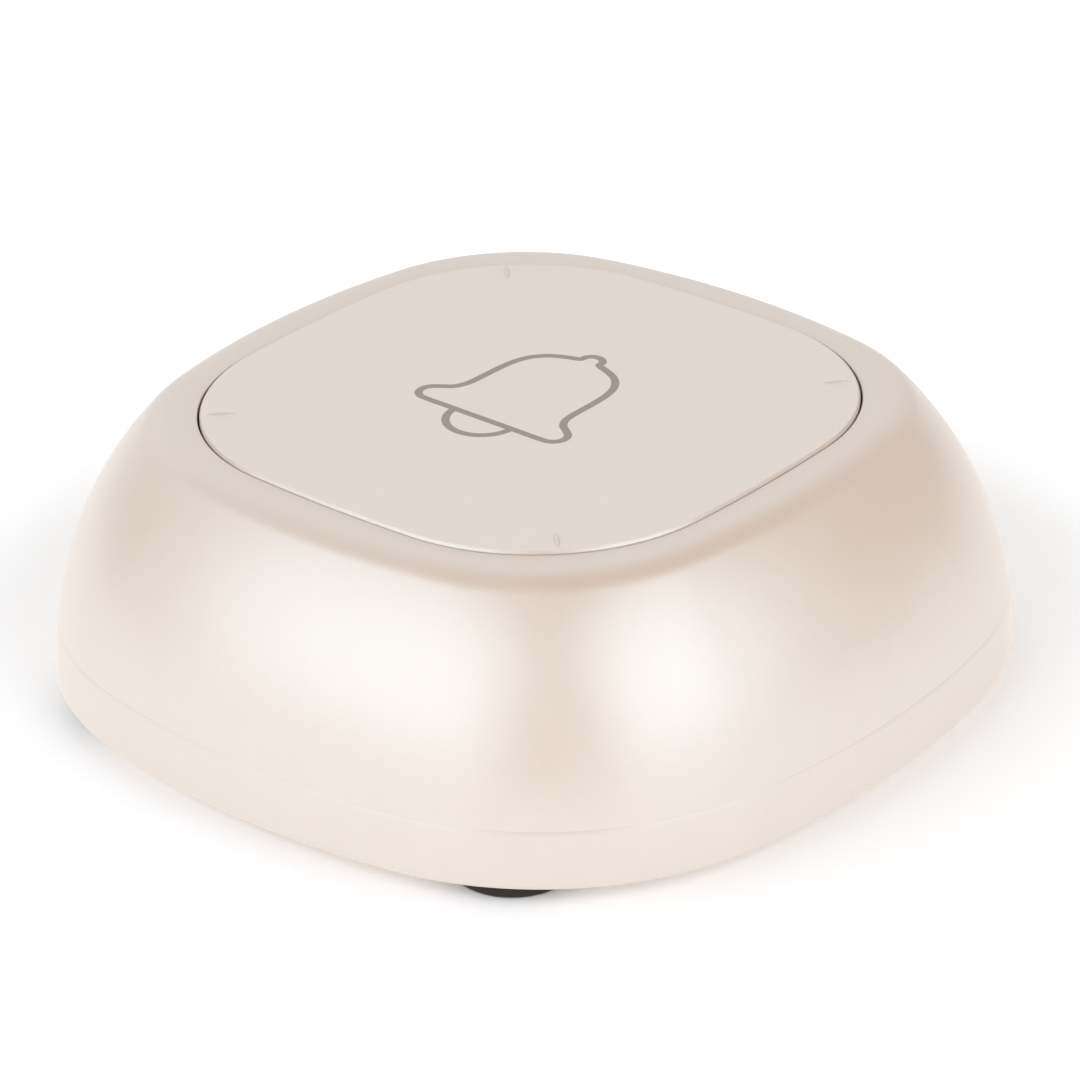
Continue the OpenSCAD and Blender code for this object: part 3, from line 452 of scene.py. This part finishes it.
# Upper shell
# The main moulding in pearl champagne ABS: flanks that curve inwards, a soft shoulder and a flat rim round
# the key, and inside a collar that guides the key, four spring shelves and four screw bosses.
SHOULDER_R = 2.8
RIM_W = 1.6
RIM_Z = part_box("upper_shell")[1].z / MM
COLLAR_H, COLLAR_T = 4.8, 1.2
ROOF_Z, COLLAR_Z = RIM_Z - WALL, RIM_Z - COLLAR_H
KEY_GAP = 0.07
CORNER_TIGHTER = 0.22  # by how much the opening's corner radius is below the key's
OPENING_EDGE_R = 0.08
shoulder_inset = flank_inset(RIM_Z - SHOULDER_R, SHOULDER_R)
shoulder_turn = math.degrees(math.asin((RIM_Z - LOWER_Z - SHOULDER_R) / (FLANK_R - SHOULDER_R)))
KEY = (BODY[0] - shoulder_inset - RIM_W - KEY_GAP, 120.0, 14.2)
OPENING = (KEY[0], KEY[1], KEY[2] - CORNER_TIGHTER)
lap_inset = flank_inset(SEAM_Z) + WALL / 2
LAP_Z = SEAM_Z + LIP_H + LIP_GAP
SCREW_BOSS_R, SCREW_BOSS_Z = 2.96, 10.5
PILOT_R, PILOT_SPARE = 1.12, 0.05  # a pilot hole's radius, and its depth past the screw
QUARTERS = (0, 90, 180, 270)

flank_line = bend(flank_inset(SEAM_Z) + SEAM_EDGE_R, SEAM_Z + SEAM_EDGE_R, SEAM_EDGE_R, -90, -20, 4)
flank_start = math.degrees(math.asin((SEAM_Z + 2 * SEAM_EDGE_R - LOWER_Z) / FLANK_R))
flank_line += bend(FLANK_R, LOWER_Z, FLANK_R, flank_start, shoulder_turn, 30)
flank_line += bend(shoulder_inset, RIM_Z - SHOULDER_R, SHOULDER_R, shoulder_turn, 90, 16)[1:]
hoop = [rounded_square(BODY, inset, z) for inset, z in flank_line]
opening_line = bend(-KEY_GAP - OPENING_EDGE_R, RIM_Z - OPENING_EDGE_R, OPENING_EDGE_R, 90, 180, 5)
opening_line += [(-KEY_GAP, COLLAR_Z), (-KEY_GAP - COLLAR_T, COLLAR_Z), (-KEY_GAP - COLLAR_T, ROOF_Z)]
hoop += [rounded_square(OPENING, inset, z) for inset, z in opening_line]
hoop += [rounded_square(BODY, flank_inset(z, WALL), z) for z in np.linspace(ROOF_Z, LAP_Z, 12)]
hoop += [rounded_square(BODY, lap_inset, z) for z in (LAP_Z, SEAM_Z)]
shell = [loft(hoop, closed=True)]
pilot_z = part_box("case_screws")[1].z / MM + PILOT_SPARE
shell += [turned([(0, pilot_z), (PILOT_R, pilot_z), (PILOT_R, SEAM_Z), (SCREW_BOSS_R, SEAM_Z),
                  (SCREW_BOSS_R, SCREW_BOSS_Z), (0, SCREW_BOSS_Z)], at, 40) for at in foot_at]


def spun(verts, turn):
    """Points turned by degrees about the upright line through the origin."""
    x, y, z = np.array(verts, float).T
    c, s = math.cos(math.radians(turn)), math.sin(math.radians(turn))
    return np.column_stack([x * c - y * s, x * s + y * c, z])


def ring_slice(r0, r1, z0, z1, middle, span, centre=(0, 0), turn=0):
    """A curved block cut from a ring, span degrees long about its middle, turned whole about the origin."""
    x, y = centre
    corners = [(r0, z0), (r1, z0), (r1, z1), (r0, z1)]
    angles = np.radians(np.linspace(middle - span / 2, middle + span / 2, max(4, int(span / 4))))
    verts, faces = capped([[(x + r * math.cos(a), y + r * math.sin(a), z) for r, z in corners]
                           for a in angles])
    return spun(verts, turn), faces


SHELF_Z, SHELF_T, SHELF_SPAN, SHELF_IN = 14.4, 1.2, 42, 7.55
POCKET_H = 0.5
UPRIGHT_SPAN, UPRIGHT_SET_IN = 40, 0.1
key_c = outline_arcs(KEY)[1]
collar_skin = COLLAR_T / 5
upright_in, shelf_out = KEY[2] + KEY_GAP + collar_skin, KEY[2] + KEY_GAP + COLLAR_T - collar_skin
pocket_z = SHELF_Z - POCKET_H
for turn in QUARTERS:
    shell.append(ring_slice(SHELF_IN, shelf_out, SHELF_Z - SHELF_T, pocket_z,
                            45, SHELF_SPAN, (key_c, key_c), turn))
    shell.append(ring_slice(upright_in, shelf_out - UPRIGHT_SET_IN, pocket_z - SUNK, COLLAR_Z + SUNK,
                            45, UPRIGHT_SPAN, (key_c, key_c), turn))
make_piece("upper_moulding", shell, shell_pearl, "housing", "shell_pearl", "upper_shell")


# Return springs
# Four compression springs of bright steel wire with closed ends, one under each corner of the key, standing
# on the upper shell's shelves. In use they shorten with the key's travel; here each is built at rest.
SPRING_WIRE = 0.4
CLOSED_TURNS, OPEN_TURNS = 0.8, 3.4
CLOSED_PITCH = SPRING_WIRE * 1.06  # the end turns all but touch
SPRING_STEPS = 132
turn_ends = np.cumsum((0, CLOSED_TURNS, OPEN_TURNS, CLOSED_TURNS))
closed_rise = CLOSED_TURNS * CLOSED_PITCH
for name in ("spring_front_left", "spring_front_right", "spring_back_left", "spring_back_right"):
    low, high = (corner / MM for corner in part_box(name))
    x, y, mean_r = (low.x + high.x) / 2, (low.y + high.y) / 2, (high.x - low.x - SPRING_WIRE) / 2
    rise = high.z - low.z - SPRING_WIRE
    path = []
    for t in np.linspace(0, turn_ends[-1], SPRING_STEPS):
        lift = np.interp(t, turn_ends, (0, closed_rise, rise - closed_rise, rise))
        path.append((x + mean_r * math.cos(2 * math.pi * t), y + mean_r * math.sin(2 * math.pi * t),
                     low.z + SPRING_WIRE / 2 + lift))
    coil = make_piece("coil_" + name.removeprefix("spring_"), [wire_along(path, SPRING_WIRE)], spring_steel,
                      "housing", "spring_steel", name)
    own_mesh(coil)


# Call key
# One large key just proud of the rim, moulded in pearl champagne: a flat plate with a fine matt face and a
# steep, polished edge, a skirt with snap hooks under the collar, a stem over the switch, cross ribs, guides
# for the springs, and a pip at each corner.
EDGE_BENDS = ((0, 24, 0.05, 3), (24, 38, 0.22, 6), (38, 90, 0.12, 6))  # tilt from and to, length, steps
EDGE_POLISHED = 10  # steps of the edge, from its foot, that are polished
key_top_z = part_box("call_key")[1].z / MM
PLATE_DEPTH, SKIRT_DEPTH, SKIRT_T = 1.8, 3.8, 1.2  # depths are below the rim
KEY_LOW_Z, SKIRT_Z = RIM_Z - PLATE_DEPTH, RIM_Z - SKIRT_DEPTH
HOOK_HALF, HOOK_REACH, HOOK_H, HOOK_GAP, HOOK_SET_IN = 3.0, 0.5, 1.0, 0.1, 0.2
HOOK_Z = COLLAR_Z - HOOK_GAP
STEM_R, STEM_GAP = 2.4, 0.05
stem_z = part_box("switch_plunger")[1].z / MM + STEM_GAP
GUIDE_R, GUIDE_Z = 1.25, SHELF_Z + KEY_TRAVEL + SPRING_WIRE
RIB_HALF, RIB_H, RIB_IN = 0.5, 1.0, 2.0


def block(low, high, turn):
    """A box between two corners, turned about the origin."""
    (x0, y0, z0), (x1, y1, z1) = low, high
    verts = [(x, y, z) for z in (z0, z1) for x, y in ((x0, y0), (x1, y0), (x1, y1), (x0, y1))]
    faces = [(3, 2, 1, 0), (4, 5, 6, 7), (0, 1, 5, 4), (1, 2, 6, 5), (2, 3, 7, 6), (3, 0, 4, 7)]
    return spun(verts, turn), faces


plate_line = [(SKIRT_T, KEY_LOW_Z), (SKIRT_T, SKIRT_Z), (0, SKIRT_Z)]
edge_line = [(0.0, 0.0)]
for start, end, length, steps in EDGE_BENDS:
    for tilt in np.radians(start + (end - start) * (np.arange(steps) + 0.5) / steps):
        inset, rise = edge_line[-1]
        edge_line.append((inset + math.sin(tilt) * length / steps, rise + math.cos(tilt) * length / steps))
edge_w, edge_h = edge_line[-1]
edge_line = [(inset, key_top_z - edge_h + rise) for inset, rise in edge_line]
plate = [loft([rounded_square(KEY, inset, z) for inset, z in plate_line + edge_line[:EDGE_POLISHED + 1]]),
         flat_sheet(rounded_square(KEY, SKIRT_T, KEY_LOW_Z), [])]
face = [loft([rounded_square(KEY, inset, z) for inset, z in edge_line[EDGE_POLISHED:]]),
        flat_sheet(rounded_square(KEY, edge_w, key_top_z), [])]
root_z = KEY_LOW_Z + SUNK
plate.append(turned([(0, root_z), (STEM_R, root_z), (STEM_R, stem_z), (0, stem_z)], sides=40))
spring_low, spring_high = (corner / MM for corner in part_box("spring_back_right"))
guide_at = (spring_low.x + spring_high.x) / 2
plate += [turned([(0, root_z), (GUIDE_R, root_z), (GUIDE_R, GUIDE_Z), (0, GUIDE_Z)],
                 (sx * guide_at, sy * guide_at), 32) for sx, sy in corner_signs]
skirt_in, hook_face = KEY[0] - SKIRT_T, KEY[0] - KEY_GAP / 2
for turn in QUARTERS:
    plate.append(block((RIB_IN, -RIB_HALF, KEY_LOW_Z - RIB_H), (skirt_in + SUNK, RIB_HALF, root_z), turn))
    plate.append(block((skirt_in + HOOK_SET_IN, -HOOK_HALF, HOOK_Z - HOOK_H),
                       (hook_face, HOOK_HALF, SKIRT_Z + SUNK), turn))
    plate.append(block((hook_face - SUNK, -HOOK_HALF, HOOK_Z - HOOK_H / 2),
                       (KEY[0] + KEY_GAP + HOOK_REACH, HOOK_HALF, HOOK_Z), turn))
PIP_L, PIP_HALF_W, PIP_H, PIP_FROM_EDGE = 2.1, 0.17, 0.12, 0.2
PIP_BLUNT = 0.02
BEDDED = 0.01  # how deep a pip or a print is let into the key's face
pip_end = key_c * math.sqrt(2) + KEY[2] - edge_w - PIP_FROM_EDGE
ridge = []
for t in np.linspace(0, 1, 13):
    swell = max(PIP_BLUNT, math.sin(math.pi * t)) ** 0.5
    reach = pip_end - PIP_L * (1 - t)
    ridge.append([(reach, PIP_HALF_W * swell * math.cos(a), key_top_z - BEDDED + PIP_H * swell * math.sin(a))
                  for a in np.linspace(0, math.pi, 7)])
verts, faces = capped(ridge)
plate += [(spun(verts, 45 + turn), faces) for turn in QUARTERS]
key_pearl = pearl("key_pearl", (208, 198, 191), roughness=(0.4, 0.46), gloss=1.6)
make_piece("key_moulding", plate, shell_pearl, "key", "key_pearl", "call_key",
           flat=True, matt_parts=face, matt=key_pearl)


# Bell sign
# A plain outline of a bell with its clapper, a common sign for a call.
# It is pad-printed on the key in one pass of warm grey ink.
STROKE, INK, CLAPPER_INK = 0.57, 0.016, 0.0144
BELL_AXIS_X = -0.45
HALF_BELL = [(0.0, 7.86), (0.4, 7.78), (0.73, 7.43), (0.88, 6.92), (1.78, 6.58), (2.76, 6.12), (3.5, 5.46),
             (4.02, 4.58), (4.3, 3.4), (4.4, 2.1), (4.42, 0.8), (4.45, -0.3), (4.58, -1.15), (4.98, -1.88),
             (5.66, -2.38), (6.22, -2.86), (6.41, -3.42), (6.24, -4.0), (5.75, -4.36), (5.0, -4.44),
             (3.5, -4.44), (1.6, -4.44), (0.0, -4.44)]


def smooth_line(points, closed, steps=8):
    """A smooth curve through points."""
    points = np.array(points, float)
    n = len(points)
    at = (lambda i: points[i % n]) if closed else (lambda i: points[min(max(i, 0), n - 1)])
    curve = []
    for i in range(n if closed else n - 1):
        p0, p1, p2, p3 = (at(i + k) for k in (-1, 0, 1, 2))
        for t in np.linspace(0, 1, steps, endpoint=False):
            curve.append(0.5 * (2 * p1 + (p2 - p0) * t + (2 * p0 - 5 * p1 + 4 * p2 - p3) * t * t
                                + (3 * p1 - p0 - 3 * p2 + p3) * t ** 3))
    return np.array(curve if closed else curve + [points[-1]])


def ribbon(line, width, low, high, closed):
    """A flat-topped band of even width along a line in plan, a little narrower at height high than at low."""
    top_share = 0.94
    ahead = np.roll(line, -1, 0) - np.roll(line, 1, 0)
    if not closed:
        ahead[0], ahead[-1] = line[1] - line[0], line[-1] - line[-2]
    ahead /= np.linalg.norm(ahead, axis=1)[:, None]
    foot = np.column_stack([-ahead[:, 1], ahead[:, 0]]) * width / 2
    sections = [[(*(p - f), low), (*(p - t), high), (*(p + t), high), (*(p + f), low)]
                for p, f, t in zip(line, foot, foot * top_share)]
    return loft(sections, True) if closed else capped(sections)


bell_points = ([(BELL_AXIS_X + x, y) for x, y in HALF_BELL]
               + [(BELL_AXIS_X - x, y) for x, y in HALF_BELL[-2:0:-1]])
CLAPPER_R = 2.55
clapper_points = [(BELL_AXIS_X + CLAPPER_R * math.cos(a), HALF_BELL[-1][1] + CLAPPER_R * math.sin(a))
                  for a in np.linspace(math.pi, 2 * math.pi, 15)]
ink = finish("bell_ink", srgb(134, 124, 116), srgb(144, 134, 126),
             grain=5000, roughness=(0.5, 0.6), bump=0.1)
make_piece("bell_sign", [
    ribbon(smooth_line(bell_points, True), STROKE, key_top_z - BEDDED, key_top_z + INK, True),
    ribbon(smooth_line(clapper_points, False), STROKE, key_top_z - BEDDED, key_top_z + CLAPPER_INK, False)],
    ink, "key", "key_pearl")


# Case screws
# Four zinc-plated steel screws with pan heads, under the feet.
# They are driven up through the base into the upper shell's bosses and hold the two together.
dress(zinc, "case_screws")


# Rubber feet
# Four soft black-brown rubber bumpers pressed into the base's recesses over the screws, each with a rounded
# tread edge, a ring groove for grip and a small dimple from its mould.
TREAD_R = 0.4
DIMPLE_R, DIMPLE_H = 1.1, 0.3
DIMPLE_FLAT_R, DIMPLE_BREAK_H = 0.66, 0.12
DIMPLE_LIP_W, DIMPLE_LIP_H = 0.2, 0.02
GROOVE_R, GROOVE_HALF_W, GROOVE_H = 2.6, 0.4, 0.25
rubber = finish("foot_rubber", srgb(28, 19, 14), srgb(38, 27, 21),
                grain=2600, roughness=(0.62, 0.76), bump=0.35, depth=0.00003)
rubber.node_tree.nodes["Principled BSDF"].inputs["Specular IOR Level"].default_value = 0.3
tread = [(0, DIMPLE_H), (DIMPLE_FLAT_R, DIMPLE_H), (DIMPLE_R, DIMPLE_BREAK_H),
         (DIMPLE_R + DIMPLE_LIP_W, DIMPLE_LIP_H), (DIMPLE_R + 2 * DIMPLE_LIP_W, 0),
         (GROOVE_R - GROOVE_HALF_W, 0), (GROOVE_R - GROOVE_HALF_W / 2, GROOVE_H),
         (GROOVE_R + GROOVE_HALF_W / 2, GROOVE_H), (GROOVE_R + GROOVE_HALF_W, 0)]
tread += [(foot_r - inset, z) for inset, z in bend(TREAD_R, TREAD_R, TREAD_R, -90, 0, 8)]
tread += [(foot_r, FOOT_TOP_Z), (0, FOOT_TOP_Z)]
foot_names = ("foot_front_left", "foot_front_right", "foot_back_left", "foot_back_right")
for name, at in zip(foot_names, foot_at):
    make_piece("bumper_" + name.removeprefix("foot_"), [turned(tread, at, 96)], rubber,
               "housing", "foot_rubber", name)


# Coin cell
# A standard 24.5 mm lithium cell in a bright can of nickel-plated steel.
# It lies cap up in the door's cup, between the clip beside it and the leaf above it.
dress(finish("nickel_plate", srgb(196, 196, 198), srgb(214, 214, 215),
             grain=1200, roughness=(0.14, 0.24), bump=0.03, metallic=1.0), "coin_cell")


# Battery door
# A round bayonet door in the same plastic with a finer matt, turned with a coin in its curved slot. A raised
# pointer on its face turns between a closed and an open padlock on the base, all three tipped with the
# bell's grey ink.
DOOR_EDGE_R = 0.25
NECK_R, CUP_R, FLANGE_Z, CUP_Z = 13.6, 12.55, 2.4, 5.6
SLOT_HALF_W, SLOT_DEPTH, SLOT_FLOOR_R, SLOT_EDGE = 0.9, 1.2, 16.0, 0.14
LUG_R, LUG_LOW_Z, LUG_H, LUG_SPAN = 14.8, 3.45, 1.0, 24
LUG_ANGLES = (30, 150, 270)
slot_half_l = math.sqrt(SLOT_FLOOR_R ** 2 - (SLOT_FLOOR_R - SLOT_DEPTH) ** 2)
slot_x = slot_half_l * np.sin(np.linspace(-math.pi / 2, math.pi / 2, 41))
slot_sections = []
for x in slot_x:
    floor = LOWER_Z + SLOT_DEPTH - SLOT_FLOOR_R + math.sqrt(SLOT_FLOOR_R ** 2 - x * x)
    lip = min(SLOT_EDGE, floor - LOWER_Z)
    slot_sections.append([(x, -SLOT_HALF_W - SLOT_EDGE, LOWER_Z), (x, -SLOT_HALF_W, LOWER_Z + lip),
                          (x, -SLOT_HALF_W, floor), (x, SLOT_HALF_W, floor),
                          (x, SLOT_HALF_W, LOWER_Z + lip), (x, SLOT_HALF_W + SLOT_EDGE, LOWER_Z)])
slot_verts = np.array(slot_sections).reshape(-1, 3)
row = len(slot_sections[0])
slot_faces = [(row * i + k, row * i + k + 1, row * (i + 1) + k + 1, row * (i + 1) + k)
              for i in range(len(slot_x) - 1) for k in range(row - 1)]
slot_rim = ([s[0] for s in slot_sections] + [slot_sections[-1][k] for k in (1, 4)]
            + [s[5] for s in slot_sections[::-1]] + [slot_sections[0][k] for k in (4, 1)])
door_line = [(door_r - inset, z)
             for inset, z in bend(DOOR_EDGE_R, LOWER_Z + DOOR_EDGE_R, DOOR_EDGE_R, -90, 0, 10)]
door_line += [(door_r, FLANGE_Z), (NECK_R, FLANGE_Z), (NECK_R, CUP_Z), (CUP_R, CUP_Z), (CUP_R, FLOOR_Z),
              (0, FLOOR_Z)]
door_parts = [turned(door_line, sides=DOOR_SIDES), (slot_verts, slot_faces),
              flat_sheet(circle(door_r - DOOR_EDGE_R, (0, 0), LOWER_Z, DOOR_SIDES), [slot_rim])]
door_parts += [ring_slice(NECK_R - SUNK, LUG_R, LUG_LOW_Z, LUG_LOW_Z + LUG_H, angle, LUG_SPAN)
               for angle in LUG_ANGLES]
door_pearl = pearl("door_pearl", (205, 186, 171), roughness=(0.46, 0.52), gloss=2.2, bump=0.25)
make_piece("bayonet_door", door_parts, door_pearl, "door", "door_pearl", "battery_door",
           crease=14, flat=True)

MARK_H, MARK_ROOT = 0.2, 0.02
POINTER_ANGLE, DOOR_TURN = -90, 40
POINTER_REACH, LOCK_REACH = 12.1, 18.2
POINTER = [(-0.8, 0.9), (0.8, 0.9), (0, -1.5)]
LOCK_BODY = [(-1.3, -0.2), (1.3, -0.2), (1.3, -1.9), (-1.3, -1.9)]
BOW_R, BOW_W, BOW_FOOT, BOW_LEG, BOW_LIFT = 0.86, 0.42, -0.3, 0.5, 0.2
mark_low, mark_high = LOWER_Z + MARK_ROOT, LOWER_Z - MARK_H


def raised_shape(points):
    """A small raised flat shape on the underside, given in plan."""
    return capped([np.column_stack([points, np.full(len(points), z)]) for z in (mark_low, mark_high)])


def placed(points, angle, reach):
    """Moves points drawn about the origin out to reach at an angle, with their own up towards the centre."""
    a = math.radians(angle)
    out, across = np.array((math.cos(a), math.sin(a))), np.array((-math.sin(a), math.cos(a)))
    return [tuple(out * (reach - y) + across * x) for x, y in points]


make_piece("door_pointer", [raised_shape(placed(POINTER, POINTER_ANGLE, POINTER_REACH))], ink,
           "door", "door_pearl")
arch = [(-BOW_R * math.cos(a), BOW_LEG + BOW_R * math.sin(a)) for a in np.linspace(0, math.pi, 13)]
closed_bow = [(-BOW_R, BOW_FOOT), *arch, (BOW_R, BOW_FOOT)]
open_bow = [(BOW_R, BOW_FOOT), *[(x + 2 * BOW_R, y + BOW_LIFT) for x, y in arch]]
marks = []
for angle, bow in ((POINTER_ANGLE, closed_bow), (POINTER_ANGLE - DOOR_TURN, open_bow)):
    marks.append(raised_shape(placed(LOCK_BODY, angle, LOCK_REACH)))
    marks.append(ribbon(np.array(placed(bow, angle, LOCK_REACH)), BOW_W, mark_low, mark_high, False))
make_piece("lock_marks", marks, ink, "housing", "shell_pearl")


# Floor and light
# A white paper table under a plain studio sky, which glows behind on the left and has the tint of a warm
# wall behind on the right. A softbox stands before each of the two near sides, and a lamp lights the
# underside. The table is lifted to white for the lens by an emission that grows with distance from the
# button. This is painted light: the floor is painted whiter away from the button and left darker close
# round it. The real shadow shows there, and the shadow's fall-off is partly painted shade.
FLOOR_HALF = 2.5
PAPER, LIFT_TINT = (0.915, 0.922, 0.932, 1), (0.92, 0.97, 1.0, 1)
MIRRORED_LIFT = 0.68  # strength of the lift in the button's own gloss
LIFT_NEAR, LIFT_FAR = 0.05, 0.6
LIFT_AT = ((0.038, 0.05), (0.046, 0.13), (0.062, 0.24), (0.12, 0.34), (0.5, 0.58))  # metres from the button, strength of the painted lift


def grey_ramp(nodes, first, last, between):
    """A ramp of greys from first to last, through pairs of a position and a grey."""
    ramp = nodes.new("ShaderNodeValToRGB")
    steps = ramp.color_ramp.elements
    steps[0].color, steps[1].color = (first, first, first, 1), (last, last, last, 1)
    for position, grey in between:
        steps.new(position).color = (grey, grey, grey, 1)
    return ramp


floor_corners = [(x * FLOOR_HALF, y * FLOOR_HALF, 0) for x, y in ((-1, -1), (1, -1), (1, 1), (-1, 1))]
floor_mesh = bpy.data.meshes.new("table")
floor_mesh.from_pydata(floor_corners, [], [(0, 1, 2, 3)])
table = bpy.data.objects.new("table", floor_mesh)
scene.collection.objects.link(table)
table_white = bpy.data.materials.new("table_white")
table_white.use_nodes = True
nodes, links = table_white.node_tree.nodes, table_white.node_tree.links
nodes.clear()
output = nodes.new("ShaderNodeOutputMaterial")
paper = nodes.new("ShaderNodeBsdfDiffuse")
paper.inputs["Color"].default_value = PAPER
lift = nodes.new("ShaderNodeEmission")
lift.inputs["Color"].default_value = LIFT_TINT
path = nodes.new("ShaderNodeLightPath")
mirrored = nodes.new("ShaderNodeMath")
mirrored.operation = "MULTIPLY"
mirrored.inputs[1].default_value = MIRRORED_LIFT
links.new(path.outputs["Is Glossy Ray"], mirrored.inputs[0])
seen = nodes.new("ShaderNodeMath")
seen.operation = "MULTIPLY_ADD"
links.new(path.outputs["Is Camera Ray"], seen.inputs[0])
links.new(mirrored.outputs["Value"], seen.inputs[2])
links.new(seen.outputs["Value"], lift.inputs["Strength"])
both = nodes.new("ShaderNodeAddShader")
links.new(paper.outputs["BSDF"], both.inputs[0])
links.new(lift.outputs["Emission"], both.inputs[1])
underneath = nodes.new("ShaderNodeNewGeometry")
away = nodes.new("ShaderNodeVectorMath")
away.operation = "LENGTH"
# Painted light: the table's lift for the lens grows with distance from the button, so the floor near it is
# painted darker than the floor further off.
painted_lift_ramp = grey_ramp(nodes, LIFT_NEAR, LIFT_FAR, LIFT_AT)
links.new(underneath.outputs["Position"], away.inputs[0])
links.new(away.outputs["Value"], painted_lift_ramp.inputs["Fac"])
links.new(painted_lift_ramp.outputs["Color"], seen.inputs[1])
clear = nodes.new("ShaderNodeBsdfTransparent")
see_through = nodes.new("ShaderNodeMath")
see_through.operation = "MAXIMUM"
links.new(underneath.outputs["Backfacing"], see_through.inputs[0])
links.new(path.outputs["Is Shadow Ray"], see_through.inputs[1])
one_way = nodes.new("ShaderNodeMixShader")
links.new(see_through.outputs["Value"], one_way.inputs["Fac"])
links.new(both.outputs["Shader"], one_way.inputs[1])
links.new(clear.outputs["BSDF"], one_way.inputs[2])
links.new(one_way.outputs["Shader"], output.inputs["Surface"])
floor_mesh.materials.append(table_white)

SKY_BELOW, SKY_ZENITH = 0, 0.3
SKY_AT = ((0.002, 0.45), (0.45, 0.61), (0.75, 0.38))  # height of a bearing, brightness
GLOW_TOWARDS, GLOW_FROM, GLOW_FULL, GLOW = (-0.64, 0.61, 0.46), 0.5, 0.95, 0.8
WALL_TOWARDS, WALL_FROM, WALL_FULL = (0.354, 0.612, 0.707), 0.6, 0.95
WALL_TINT = (0.98, 0.85, 0.74, 1)
sky = bpy.data.worlds.new("studio")
scene.world = sky
sky.use_nodes = True
nodes, links = sky.node_tree.nodes, sky.node_tree.links
light_sky = nodes["Background"]
light_sky.inputs["Strength"].default_value = 1.0
bearing = nodes.new("ShaderNodeTexCoord")


def sky_patch(direction, start, full, most=1.0):
    """A soft round patch of the sky: most about its direction, nothing further off."""
    facing = nodes.new("ShaderNodeVectorMath")
    facing.operation = "DOT_PRODUCT"
    facing.inputs[1].default_value = direction
    links.new(bearing.outputs["Generated"], facing.inputs[0])
    patch = nodes.new("ShaderNodeMapRange")
    patch.interpolation_type = "SMOOTHSTEP"
    patch.inputs["From Min"].default_value, patch.inputs["From Max"].default_value = start, full
    patch.inputs["To Max"].default_value = most
    links.new(facing.outputs["Value"], patch.inputs["Value"])
    return patch.outputs["Result"]


upward = nodes.new("ShaderNodeSeparateXYZ")
fade = grey_ramp(nodes, SKY_BELOW, SKY_ZENITH, SKY_AT)
links.new(bearing.outputs["Generated"], upward.inputs["Vector"])
links.new(upward.outputs["Z"], fade.inputs["Fac"])
studio_light = nodes.new("ShaderNodeVectorMath")
studio_light.operation = "ADD"
links.new(fade.outputs["Color"], studio_light.inputs[0])
links.new(sky_patch(GLOW_TOWARDS, GLOW_FROM, GLOW_FULL, GLOW), studio_light.inputs[1])
warm_wall = nodes.new("ShaderNodeMix")
warm_wall.data_type = "RGBA"
warm_wall.inputs["A"].default_value, warm_wall.inputs["B"].default_value = (1, 1, 1, 1), WALL_TINT
links.new(sky_patch(WALL_TOWARDS, WALL_FROM, WALL_FULL), warm_wall.inputs["Factor"])
walled_sky = nodes.new("ShaderNodeVectorMath")
walled_sky.operation = "MULTIPLY"
links.new(studio_light.outputs["Vector"], walled_sky.inputs[0])
links.new(warm_wall.outputs["Result"], walled_sky.inputs[1])
links.new(walled_sky.outputs["Vector"], light_sky.inputs["Color"])
seen_sky = nodes.new("ShaderNodeBackground")
seen_sky.inputs["Color"].default_value = (1, 1, 1, 1)
path = nodes.new("ShaderNodeLightPath")
either = nodes.new("ShaderNodeMixShader")
links.new(path.outputs["Is Camera Ray"], either.inputs["Fac"])
links.new(light_sky.outputs["Background"], either.inputs[1])
links.new(seen_sky.outputs["Background"], either.inputs[2])
links.new(either.outputs["Shader"], nodes["World Output"].inputs["Surface"])

LAMP_DISTANCE = 0.6
LAMP_WHITE = (0.965, 0.985, 1.0)


def softbox(name, *, azimuth, elevation, width, height, power):
    """A rectangular softbox that faces the button from a bearing."""
    lamp = bpy.data.lights.new(name, "AREA")
    lamp.shape, lamp.size, lamp.size_y, lamp.energy = "RECTANGLE", width, height, power
    lamp.color = LAMP_WHITE
    lamp_at = bpy.data.objects.new(name, lamp)
    a, e = math.radians(azimuth), math.radians(elevation)
    towards = Vector((math.sin(a) * math.cos(e), -math.cos(a) * math.cos(e), math.sin(e)))
    lamp_at.location = AIM + towards * LAMP_DISTANCE
    lamp_at.rotation_euler = towards.to_track_quat("Z", "Y").to_euler()
    scene.collection.objects.link(lamp_at)


softbox("softbox_left", azimuth=-13, elevation=27, width=0.78, height=0.52, power=3.02)
softbox("lamp_under_table", azimuth=221, elevation=-72, width=0.6, height=0.6, power=2.2)
softbox("softbox_right", azimuth=91.5, elevation=26.5, width=0.62, height=0.52, power=2.6)
